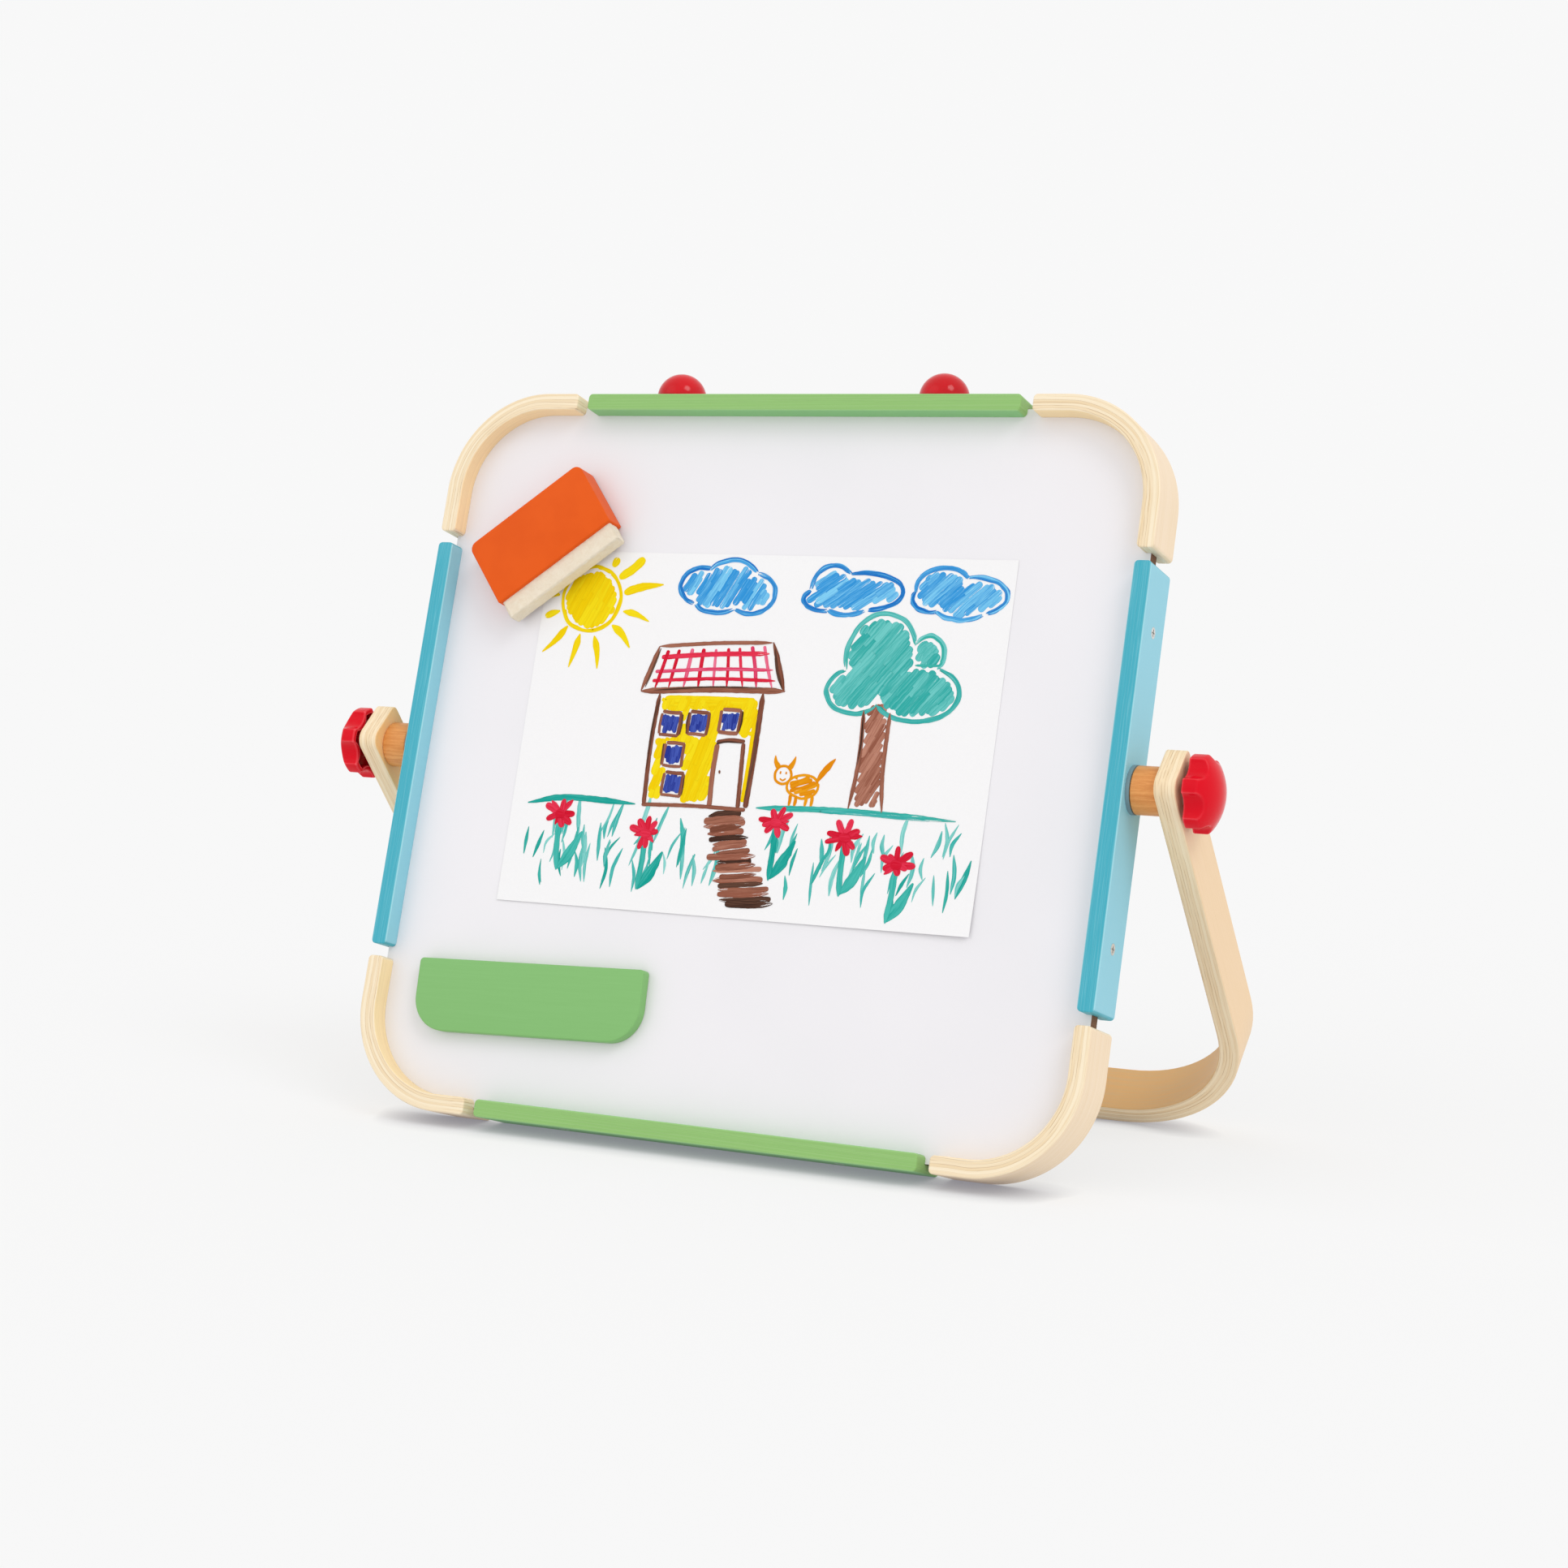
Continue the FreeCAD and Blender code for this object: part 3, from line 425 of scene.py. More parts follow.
def paint(name, thick_colour, thin_colour):
    """Poster paint: bristle streaks along each stroke, its own tone, bare paper where the brush ran dry."""
    shader = Shader(name, Specular_IOR_Level=0.04)
    along, across, _ = shader.split(shader.add("UVMap", uv_map="stroke").outputs[0])
    wear, _, _ = shader.split(shader.add("UVMap", uv_map="wear").outputs[0])
    number = shader.math("FLOOR", across)
    share = shader.math("FRACT", across)
    spot = shader.join(shader.times(along, 0.05), shader.times(across, 5.0), number)
    streaks = shader.noise(spot, 1.0, 4.0, 0.65)
    tone = shader.random_tone(number)
    wash = shader.times_plus(tone, 0.3, streaks)
    colour = shader.mix(shader.ramp(wash, 0.45, 0.85), thick_colour, thin_colour)
    side = shader.away(share, 0.5)
    rim = shader.times(shader.ramp(side, 0.32, 0.5), 0.3)
    colour = shader.mix(rim, colour, [channel * 0.75 for channel in thick_colour])
    limit = shader.times_plus(wear, -0.3, 0.82)
    bare = shader.ramp(shader.minus(streaks, limit), 0.0, 0.03)
    shader.set(Base_Color=shader.mix(bare, colour, PAPER_WHITE))
    return shader.set(Roughness=shader.span(streaks, 0.55, 0.8), Normal=shader.bump(streaks, 0.01))


def enamel(name, white, shade):
    """Dry-wipe enamel: nearly even white, with faint wiping arcs in the gloss."""
    shader = Shader(name, Specular_IOR_Level=0.4)
    vector = shader.local(BOARD)
    cloud = shader.noise(vector, 0.008, 2.0)
    arcs = shader.noise(shader.stretch(vector, (0.02, 0.12, 1.0)), 1.0, 4.0, 0.6, 1.5)
    shader.set(Base_Color=shader.mix(shader.ramp(cloud, 0.3, 0.75), white, shade))
    shader.set(Roughness=shader.span(arcs, 0.3, 0.44))
    return shader.set(Normal=shader.bump(shader.noise(vector, 0.25, 2.0), 0.006))


def chalkboard(name):
    """Matt black coating with wiped chalk left as a grey haze."""
    shader = Shader(name, Specular_IOR_Level=0.3)
    vector = shader.local(BOARD)
    haze = shader.noise(shader.stretch(vector, (0.007, 0.014, 1.0)), 1.0, 4.0, 0.5, 0.5)
    dust = shader.noise(vector, 2.5, 3.0, 0.8)
    chalk = shader.times(shader.ramp(haze, 0.42, 0.8), shader.span(dust, 0.3, 1.0))
    black, grey = (0.018, 0.02, 0.02), (0.16, 0.16, 0.16)
    shader.set(Base_Color=shader.mix(shader.times(chalk, 0.3), black, grey))
    return shader.set(Roughness=shader.span(dust, 0.65, 0.9), Normal=shader.bump(dust, 0.03))


def hardboard(name):
    """Raw brown pressed fibre."""
    shader = Shader(name, Roughness=0.8)
    vector = shader.local(BOARD)
    fibres = shader.noise(vector, 1.3, 6.0, 0.75, 1.5)
    dark, light = (0.10, 0.035, 0.015), (0.30, 0.14, 0.06)
    shader.set(Base_Color=shader.mix(shader.ramp(fibres, 0.3, 0.75), dark, light))
    return shader.set(Normal=shader.bump(fibres, 0.12))


CREAM = (0.92, 0.795, 0.59)
TAN = (0.80, 0.60, 0.35)
GLUE = (0.44, 0.24, 0.09)
PEACH = (0.885, 0.715, 0.525)
HONEY = (0.92, 0.76, 0.53)
# A plastic has its colour and its shade, then its roughness, shine, grain scale and grain depth.
MATERIALS = {
    "maple_ply": bare_ply("frame_ply", FRAME_STRIP, CREAM, TAN, GLUE, PEACH, (0.98, 0.76, 0.44)),
    "stand_ply": bare_ply("stand_ply", BOW_STRIP, HONEY, (0.80, 0.58, 0.33), GLUE, (0.86, 0.63, 0.40),
                          (0.95, 0.55, 0.22)),
    # For the painted plies: face colour with a painted sheen, edge colour, streak colour, then a painted highlight
    # colour for the rounded corners.
    "green_paint": painted_ply("green_ply", FRAME_STRIP, (0.22, 0.52, 0.19), (0.265, 0.50, 0.15),
                               (0.33, 0.56, 0.21), (0.36, 0.62, 0.26)),
    "blue_paint": painted_ply("blue_ply", FRAME_STRIP, (0.27, 0.60, 0.715), (0.05, 0.40, 0.51),
                              (0.15, 0.52, 0.62), (0.42, 0.74, 0.80)),
    "beech": turned_wood("beech", (0.82, 0.37, 0.11), (0.66, 0.25, 0.06)),
    "white_enamel": enamel("white_enamel", (0.835, 0.815, 0.84), (0.81, 0.795, 0.82)),
    "chalk_black": chalkboard("chalk_black"),
    "hardboard": hardboard("hardboard"),
    # The knob's second colour is painted shade for its hollows, the third a painted highlight for its rims.
    "knob_red": knob_plastic("knob_red", (0.70, 0.001, 0.012), (0.42, 0.0, 0.004), (0.92, 0.10, 0.12), 0.13),
    "ball_red": plastic("ball_red", (0.64, 0.001, 0.008), (0.56, 0.001, 0.006), 0.12, 0.28, 0.25, 0.015),
    "screw_steel": metal("screw_steel", (0.80, 0.79, 0.76), 0.3, 4.0),
    "washer_grey": plastic("washer_grey", (0.20, 0.30, 0.33), (0.17, 0.26, 0.29), 0.5, 0.3, 2.0, 0.03),
    "brass": metal("brass", (0.80, 0.60, 0.28), 0.3, 3.0),
    "eraser_orange": plastic("eraser_orange", (0.77, 0.10, 0.004), (0.74, 0.092, 0.003), 0.4, 0.15, 1.6,
                             0.02),
    "felt": felt("felt", (1.0, 0.90, 0.73), (0.92, 0.79, 0.60)),
    "magnet": plastic("magnet", (0.03, 0.03, 0.03), (0.02, 0.02, 0.02), 0.7, 0.2, 2.0, 0.03),
    "paper": paper("paper", (0.885, 0.875, 0.88), (0.86, 0.85, 0.855)),
}


def dress_cad_nodes():
    """Give every carried CAD node the material of its slot in the record."""
    for subpart in frame["record"]["subparts"]:
        material = MATERIALS[subpart["material_slot"]]
        if subpart["node"] == "stand_bow":
            material = MATERIALS["stand_ply"]
        node = NODES[subpart["node"]]
        node.data.materials.clear()
        node.data.materials.append(material)


# ---------------------------------------------------------------- mesh building

def make_piece(name, mesh, place, material, smooth_angle=35.0):
    """An object from a finished bmesh in local millimetres."""
    bmesh.ops.transform(mesh, matrix=place, verts=mesh.verts)
    if place.determinant() < 0:
        bmesh.ops.reverse_faces(mesh, faces=mesh.faces)
    data = bpy.data.meshes.new(name)
    mesh.to_mesh(data)
    mesh.free()
    data.shade_smooth()
    data.set_sharp_from_angle(angle=math.radians(smooth_angle))
    data.materials.append(material)
    piece = bpy.data.objects.new(name, data)
    bpy.context.scene.collection.objects.link(piece)
    return piece


def join_loops(mesh, loops):
    """Quads between rings of vertices that have the same count."""
    for first, second in zip(loops, loops[1:]):
        count = len(first)
        for number in range(count):
            after = (number + 1) % count
            mesh.faces.new((first[number], first[after], second[after], second[number]))


def ring_of(mesh, points):
    return [mesh.verts.new(point) for point in points]


RIM_STEPS = 4


def rounded_block(mesh, size, corner_radii, rim, corner_steps):
    """A block standing on Z = 0, whose four upright corners and front rim are rounded.

    corner_radii run round from (+x, +y): one each for the upright corners.
    """
    corners = list(zip((1, -1, -1, 1), (1, 1, -1, -1), corner_radii, (0.0, 90.0, 180.0, 270.0)))

    def outline(inset, height):
        points = []
        for sign_x, sign_y, radius, start in corners:
            centre_x = sign_x * (size.x / 2 - radius)
            centre_y = sign_y * (size.y / 2 - radius)
            reach = max(radius - inset, 0.02)
            pull = max(inset - radius, 0.0)
            for step in range(corner_steps + 1):
                angle = math.radians(start + 90.0 * step / corner_steps)
                points.append((centre_x - sign_x * pull + reach * math.cos(angle),
                               centre_y - sign_y * pull + reach * math.sin(angle), height))
        return points

    heights = [(rim * 0.4, 0.0), (0.0, rim * 0.4)]
    for step in range(RIM_STEPS + 1):
        angle = math.pi / 2 * step / RIM_STEPS
        heights.append((rim * (1 - math.cos(angle)), size.z - rim * (1 - math.sin(angle))))
    loops = [ring_of(mesh, outline(inset, height)) for inset, height in heights]
    join_loops(mesh, loops)
    mesh.faces.new(loops[-1])
    mesh.faces.new(list(reversed(loops[0])))


# ---------------------------------------------------------------- hand knobs

KNOB_LOBES = 6
KNOB_AROUND = 240
SCALLOP_RADIUS = 9.9
SCALLOP_CENTRE = 27.0
LOBE_SOFT = 0.35
KNOB_CROWN = 8.0
KNOB_WALL = 3.2
HUB_LIFT = 1.7
HUB_HOLE_DEEP = 10.5
SKIRT_RIM, SKIRT_RIM_STEPS = 0.9, 4
DOME_RIM, DOME_RIM_STEPS = 1.3, 5
DOME_STEPS = 15
# The hub and the bottom of the hollow round it: places past the skirt's back edge, with their radii,
# then the hollow's outer wall: places past that edge, with their distances outside the wall.
HUB_PROFILE = ((-1.5, 4.6), (-1.7, 5.2), (-1.7, 6.9), (-1.4, 7.4), (5.8, 7.4), (6.4, 8.0))
WALL_PROFILE = ((6.4, -0.6), (5.8, 0.0), (0.5, 0.0), (0.0, 0.5))


def lobe_radius(angle, full):
    """The knob's outline: full on the lobes, cut back by round scallops with softened shoulders."""
    pitch = 2 * math.pi / KNOB_LOBES
    offset = (angle + pitch / 2) % pitch - pitch / 2
    side = SCALLOP_CENTRE * math.sin(offset)
    inside = SCALLOP_RADIUS ** 2 - side ** 2
    if inside <= 0:
        return full
    gap = full - (SCALLOP_CENTRE * math.cos(offset) - math.sqrt(inside))
    return full - (gap + math.sqrt(gap * gap + LOBE_SOFT ** 2)) / 2


def bent(start, corner, end, share):
    """A number on its way from start to end, drawn towards corner."""
    return start * (1 - share) ** 2 + 2 * share * (1 - share) * corner + share ** 2 * end


def make_knob(side):
    """A six-lobed hand knob with a domed crown, hollow behind around its hub."""
    sign = 1 if side == "right" else -1
    node = "knob_" + side
    low, high = extent(node, BOARD)
    back, apex = (low.x, high.x) if sign > 0 else (-high.x, -low.x)
    full = (high.z - low.z) / 2
    skirt = back + HUB_LIFT
    ball = (full ** 2 + KNOB_CROWN ** 2) / (2 * KNOB_CROWN)
    mesh = bmesh.new()

    def dome(radius):
        return apex - ball + math.sqrt(ball ** 2 - radius ** 2)

    def section(angle):
        """From the hub's end, through the hollow, round the skirt and over the dome to the apex."""
        reach = lobe_radius(angle, full)
        wall = reach - KNOB_WALL
        points = [(skirt + past, radius) for past, radius in HUB_PROFILE]
        points += [(skirt + past, wall + more) for past, more in WALL_PROFILE]
        for step in range(SKIRT_RIM_STEPS + 1):
            turn = math.pi / 2 * step / SKIRT_RIM_STEPS
            points.append((skirt + SKIRT_RIM * (1 - math.cos(turn)),
                           reach - SKIRT_RIM * (1 - math.sin(turn))))
        edge = dome(reach) - DOME_RIM * 0.75
        points.append(((skirt + edge) / 2, reach))
        inner = reach - DOME_RIM
        for step in range(DOME_RIM_STEPS + 1):
            share = step / DOME_RIM_STEPS
            points.append((bent(edge, dome(reach), dome(inner), share), bent(reach, reach, inner, share)))
        for step in range(1, DOME_STEPS):
            radius = inner * (1 - step / DOME_STEPS)
            points.append((dome(radius), radius))
        return points

    def add_face(*corners):
        mesh.faces.new(corners if sign > 0 else corners[::-1])

    rings = []
    for number in range(KNOB_AROUND):
        angle = 2 * math.pi * number / KNOB_AROUND
        rings.append(ring_of(mesh, [(along * sign, radius * math.cos(angle), radius * math.sin(angle))
                                    for along, radius in section(angle)]))
    tip = mesh.verts.new((apex * sign, 0, 0))
    bottom = [ring[0].co for ring in rings]
    floor = ring_of(mesh, [(spot.x + sign * HUB_HOLE_DEEP, spot.y, spot.z) for spot in bottom])
    for number in range(KNOB_AROUND):
        after = (number + 1) % KNOB_AROUND
        here, there = rings[number], rings[after]
        for step in range(len(here) - 1):
            add_face(here[step], there[step], there[step + 1], here[step + 1])
        add_face(here[-1], there[-1], tip)
        add_face(there[0], here[0], floor[number], floor[after])
    add_face(*reversed(floor))
    piece = make_piece("hand_knob_" + side, mesh, BOARD, MATERIALS["knob_red"], 40)
    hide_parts(node)
    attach(piece, node)


# ---------------------------------------------------------------- round knobs on the top rail

BALL_AROUND = 96
BALL_ROWS = 40
BALL_FOOT_SOFT = 0.5


def make_ball(side):
    """A round knob: a ball cut flat below its middle, its foot's edge softened."""
    node = "ball_knob_" + side
    low, high = extent(node, BOARD)
    radius = (high.x - low.x) / 2
    centre_y = high.y - radius
    foot_angle = math.asin((low.y - centre_y) / radius)
    middle_x = (low.x + high.x) / 2
    soft = BALL_FOOT_SOFT
    mesh = bmesh.new()
    foot = radius * math.cos(foot_angle)
    profile = [(foot - soft * 2, low.y), (foot - soft, low.y), (foot - soft * 0.3, low.y + soft * 0.25)]
    start = foot_angle + 0.05
    for row in range(BALL_ROWS):
        angle = start + (math.pi / 2 - start) * row / BALL_ROWS
        profile.append((radius * math.cos(angle), centre_y + radius * math.sin(angle)))
    turns = [2 * math.pi * step / BALL_AROUND for step in range(BALL_AROUND)]
    rings = []
    for reach, up in profile:
        rings.append(ring_of(mesh, [(middle_x + reach * math.sin(turn), up, reach * math.cos(turn))
                                    for turn in turns]))
    join_loops(mesh, rings)
    mesh.faces.new(list(reversed(rings[0])))
    tip = mesh.verts.new((middle_x, high.y, 0))
    for step in range(BALL_AROUND):
        mesh.faces.new((rings[-1][step], rings[-1][(step + 1) % BALL_AROUND], tip))
    piece = make_piece("top_ball_" + side, mesh, BOARD, MATERIALS["ball_red"], 50)
    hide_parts(node)
    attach(piece, "board")


# ---------------------------------------------------------------- eraser and holder bar

ERASER_TURN = 38.5
ERASER_CORNERS = (5.0, 5.0, 1.0, 1.0)
ERASER_RIM = 0.8
HOLDER_TURN = 2.0
HOLDER_CORNERS = (2.5, 2.5, 20.0, 20.0)
HOLDER_RIM = 0.9
FELT_STEP = 0.8
FELT_ROUND = 0.45
FELT_SINK = 0.25
FELT_LUMP = 0.22
FELT_FUZZ = 0.20


def felt_block(low, high):
    """A finely cut block whose edges are pulled in and whose faces are lumpy and fuzzy."""
    size = high - low
    middle = (low + high) / 2
    mesh = bmesh.new()
    bmesh.ops.create_cube(mesh, size=1.0)
    shift = Matrix.Translation(middle) @ Matrix.Diagonal((*size, 1))
    bmesh.ops.transform(mesh, matrix=shift, verts=mesh.verts)
    for axis in range(3):
        normal = Vector([1.0 if other == axis else 0.0 for other in range(3)])
        count = max(2, round(size[axis] / FELT_STEP))
        for cut in range(1, count):
            plane = low + normal * (size[axis] * cut / count)
            geometry = mesh.verts[:] + mesh.edges[:] + mesh.faces[:]
            bmesh.ops.bisect_plane(mesh, geom=geometry, plane_co=plane, plane_no=normal)
    for vertex in mesh.verts:
        spot = vertex.co.copy()
        lean = [(spot[axis] - middle[axis]) / (size[axis] / 2) for axis in range(3)]
        outward = Vector([part if abs(part) > 0.999 else 0.0 for part in lean])
        if len([part for part in outward if part]) >= 2:
            vertex.co -= Vector([math.copysign(FELT_ROUND, part) if part else 0.0 for part in outward])
        coarse = noise.noise(spot * 0.35) * FELT_LUMP
        fuzz = noise.fractal(spot * 1.3, 0.6, 2.2, 4) * FELT_FUZZ
        vertex.co += outward * (coarse + fuzz - FELT_SINK)
    return mesh


def make_eraser():
    """A softly rounded block with a thick felt strip glued into its lower side."""
    place, size = turned_place("eraser_body", ERASER_TURN)
    mesh = bmesh.new()
    rounded_block(mesh, size, ERASER_CORNERS, ERASER_RIM, corner_steps=8)
    block = make_piece("eraser_block", mesh, place, MATERIALS["eraser_orange"], 40)
    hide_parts("eraser_body")
    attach(block, "eraser")
    mesh = felt_block(*extent("eraser_felt", place))
    pad = make_piece("felt_strip", mesh, place, MATERIALS["felt"], 80)
    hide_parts("eraser_felt")
    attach(pad, "eraser")


def make_holder():
    """A painted bar with large lower corners and a softened front rim."""
    place, size = turned_place("holder_bar", HOLDER_TURN)
    mesh = bmesh.new()
    rounded_block(mesh, size, HOLDER_CORNERS, HOLDER_RIM, corner_steps=16)
    bar = make_piece("holder_plate", mesh, place, holder_paint(place), 40)
    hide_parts("holder_bar")
    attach(bar, "holder")


def holder_paint(place):
    """Satin green over a solid wood bar: faint long grain under the paint."""
    shader = Shader("green_bar", Specular_IOR_Level=0.3)
    vector = shader.local(place)
    grain = shader.noise(shader.stretch(vector, (0.02, 0.6, 1.4)), 1.0, 4.0, 0.6, 0.5)
    peel = shader.bump(shader.noise(vector, 0.9, 2.0), 0.02, shader.bump(grain, 0.02))
    dark, light = (0.215, 0.475, 0.155), (0.225, 0.49, 0.165)
    shader.set(Base_Color=shader.mix(shader.ramp(grain, 0.3, 0.8), dark, light))
    return shader.set(Roughness=shader.span(grain, 0.36, 0.48), Normal=peel)


# ---------------------------------------------------------------- paper and painting

PAPER_TURN = 0.3
PAPER_PLACE, PAPER_SIZE = turned_place("paper_sheet", PAPER_TURN)
PAPER_COLUMNS = 96
PAPER_ROWS = 68
CURL = 1.4


def paper_lift(x, y):
    """How far the sheet stands off the board: its lower right corner curls a little."""
    right = max(0.0, x / (PAPER_SIZE.x / 2))
    down = max(0.0, -y / (PAPER_SIZE.y / 2))
    return CURL * (right ** 2 * down ** 3 + 0.25 * down ** 4)


def make_paper():
    """One thin sheet with two faces and a rim, lifted off the board where it curls."""
    mesh = bmesh.new()
    layers = []
    for height in (0.0, PAPER_SIZE.z):
        rows = []
        for row in range(PAPER_ROWS + 1):
            y = PAPER_SIZE.y * (row / PAPER_ROWS - 0.5)
            places = [PAPER_SIZE.x * (column / PAPER_COLUMNS - 0.5) for column in range(PAPER_COLUMNS + 1)]
            rows.append(ring_of(mesh, [(x, y, height + paper_lift(x, y)) for x in places]))
        layers.append(rows)
    bottom, top = layers
    for row in range(PAPER_ROWS):
        for column in range(PAPER_COLUMNS):
            mesh.faces.new((top[row][column], top[row][column + 1],
                            top[row + 1][column + 1], top[row + 1][column]))
            mesh.faces.new((bottom[row + 1][column], bottom[row + 1][column + 1],
                            bottom[row][column + 1], bottom[row][column]))
    rim = [(0, column) for column in range(PAPER_COLUMNS)]
    rim += [(row, PAPER_COLUMNS) for row in range(PAPER_ROWS)]
    rim += [(PAPER_ROWS, column) for column in range(PAPER_COLUMNS, 0, -1)]
    rim += [(row, 0) for row in range(PAPER_ROWS, 0, -1)]
    for (row, column), (next_row, next_column) in zip(rim, rim[1:] + rim[:1]):
        mesh.faces.new((bottom[row][column], bottom[next_row][next_column],
                        top[next_row][next_column], top[row][column]))
    sheet = make_piece("drawing_sheet", mesh, PAPER_PLACE, MATERIALS["paper"], 30)
    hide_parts("paper_sheet")
    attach(sheet, "paper")


def smooth_path(points, step=1.5):
    """Points close together on a smooth line through the given ones (Catmull-Rom)."""
    points = [Vector(point) for point in points]
    if len(points) == 2:
        points.insert(1, (points[0] + points[1]) / 2)
    padded = [points[0] * 2 - points[1]] + points + [points[-1] * 2 - points[-2]]
    path = []
    for before, start, end, after in zip(padded, padded[1:], padded[2:], padded[3:]):
        count = max(2, round((end - start).length / step))
        for number in range(count):
            share = number / count
            path.append(0.5 * (2 * start + (end - before) * share
                               + (2 * before - 5 * start + 4 * end - after) * share ** 2
                               + (3 * start - before - 3 * end + after) * share ** 3))
    path.append(points[-1])
    return path


def rounded_ends(path):
    """The path with two extra points close to each end, where a stroke narrows fastest."""
    extra = []
    for first, second in ((path[0], path[1]), (path[-1], path[-2])):
        extra.append([first.lerp(second, share) for share in (0.12, 0.4)])
    return [path[0]] + extra[0] + path[1:-1] + extra[1][::-1] + [path[-1]]


def narrowing(distance, reach, width):
    """How full a stroke is at a distance from its end: a round end, or a long point."""
    share = min(1.0, max(distance, 0.0) / reach)
    full = share ** 0.75 if reach > width else math.sqrt(1 - (1 - share) ** 2)
    return 0.12 + 0.88 * full


# A stroke's top stands this far off the sheet. Later layers, neighbours in turn and a stroke's own end
# stand a little higher, so that no two tops share a plane where strokes cross.
STROKE_RISE = 0.03
LAYER_RISE = 0.08
TURN_RISE, TURNS = 0.006, 12
END_RISE = 0.03
EDGE_WANDER = 0.16
STROKE_SIDES = (0.02, 0.02, 0.98, 0.98)


class Painting:
    """Brush strokes on the sheet, gathered by paint: each stroke is a thin solid ribbon."""

    def __init__(self):
        self.meshes = {}
        self.random = random.Random(7)
        self.count = 0
        self.layer = 0

    def mesh_for(self, colour):
        """The mesh that holds every stroke of a paint."""
        if colour not in self.meshes:
            mesh = bmesh.new()
            mesh.loops.layers.uv.new("stroke")
            mesh.loops.layers.uv.new("wear")
            self.meshes[colour] = mesh
        return self.meshes[colour]

    def stroke(self, colour, points, width, head=None, tail=None, dry=(0.0, 0.4)):
        """A ribbon along a smooth line, narrowing over head and tail, its brush drier towards the end."""
        mesh = self.mesh_for(colour)
        head = head or width * 0.5
        tail = tail or width * 0.5
        path = rounded_ends(smooth_path(points))
        reach = [0.0]
        for before, after in zip(path, path[1:]):
            reach.append(reach[-1] + (after - before).length)
        total = reach[-1]
        base = PAPER_SIZE.z
        self.count += 1
        top = base + STROKE_RISE + self.layer * LAYER_RISE + self.count % TURNS * TURN_RISE
        seed = self.random.randrange(1, 90)
        sections = []
        for number, (point, along) in enumerate(zip(path, reach)):
            heading = path[min(number + 1, len(path) - 1)] - path[max(number - 1, 0)]
            heading.normalize()
            side = Vector((-heading.y, heading.x))
            half = width / 2 * narrowing(along, head, width) * narrowing(total - along, tail, width)
            edges = []
            for sign in (1, -1):
                wander = EDGE_WANDER * noise.noise(Vector((along * 0.3, sign * 5, seed)))
                edges.append(point + side * (sign * half * (1 + wander)))
            lift = paper_lift(point.x, point.y)
            low, high = base + lift, top + lift + END_RISE * along / total
            left, right = edges
            corners = ((left.x, left.y, low), (left.x, left.y, high), (right.x, right.y, high),
                       (right.x, right.y, low))
            sections.append((ring_of(mesh, corners), along))
        for (first, start), (second, end) in zip(sections, sections[1:]):
            for corner in range(4):
                after = (corner + 1) % 4
                face = mesh.faces.new((first[corner], first[after], second[after], second[corner]))
                self.mark(mesh, face, (start, start, end, end), (corner, after, after, corner), seed,
                          total, dry)
        mesh.faces.new(list(reversed(sections[0][0])))
        mesh.faces.new(sections[-1][0])

    def mark(self, mesh, face, places, corners, seed, total, dry):
        """Write where each corner of a face is along and across its stroke, and how dry the brush is."""
        for loop, along, corner in zip(face.loops, places, corners):
            share = along / total
            loop[mesh.loops.layers.uv["stroke"]].uv = (along, STROKE_SIDES[corner] + seed)
            loop[mesh.loops.layers.uv["wear"]].uv = (dry[0] + (dry[1] - dry[0]) * share, share)

    def line(self, colour, points, width, loose=0.5, **shape):
        """A hand-drawn line: the given points, each a little off."""
        drawn = [(x + self.random.uniform(-loose, loose), y + self.random.uniform(-loose, loose))
                 for x, y in points]
        self.stroke(colour, drawn, width, **shape)

    def lines(self, colour, loose, *rows):
        """Lines of one paint; each row has points and width, then head, tail and dry where they matter."""
        for points, width, *shape in rows:
            self.line(colour, points, width, loose, **dict(zip(("head", "tail", "dry"), shape)))

    def loop(self, colour, centre, radii, width, start=0.0, turns=1.05, steps=14, loose=0.5, **shape):
        """A round outline whose ends overlap."""
        points = []
        for number in range(steps + 1):
            angle = math.radians(start) + 2 * math.pi * turns * number / steps
            points.append((centre[0] + radii[0] * math.cos(angle), centre[1] + radii[1] * math.sin(angle)))
        self.line(colour, points, width, loose, **shape)

    def outline(self, colour, ovals, width, spread, start=0):
        """The outside of joined ovals: a curved stroke round the bare part of each."""
        for index, (centre, radii) in enumerate(ovals):
            others = in_any(ovals[:index] + ovals[index + 1:])
            ring = []
            for degrees in range(start, start + 720, 8):
                across, up = math.cos(math.radians(degrees)), math.sin(math.radians(degrees))
                x = centre[0] + radii[0] * across
                y = centre[1] + radii[1] * up
                ring.append(None if others(x, y) else (x + spread * across, y + spread * up))
            while None in ring and ring[0]:
                ring.append(ring.pop(0))
            run = []
            for spot in ring[:46]:
                if spot:
                    run.append(spot)
                elif len(run) > 3:
                    break
            if len(run) > 3:
                self.line(colour, run[::2] + [run[-1]], width, 0.35, head=width * 1.2, tail=width * 4,
                          dry=(0.0, 0.7))

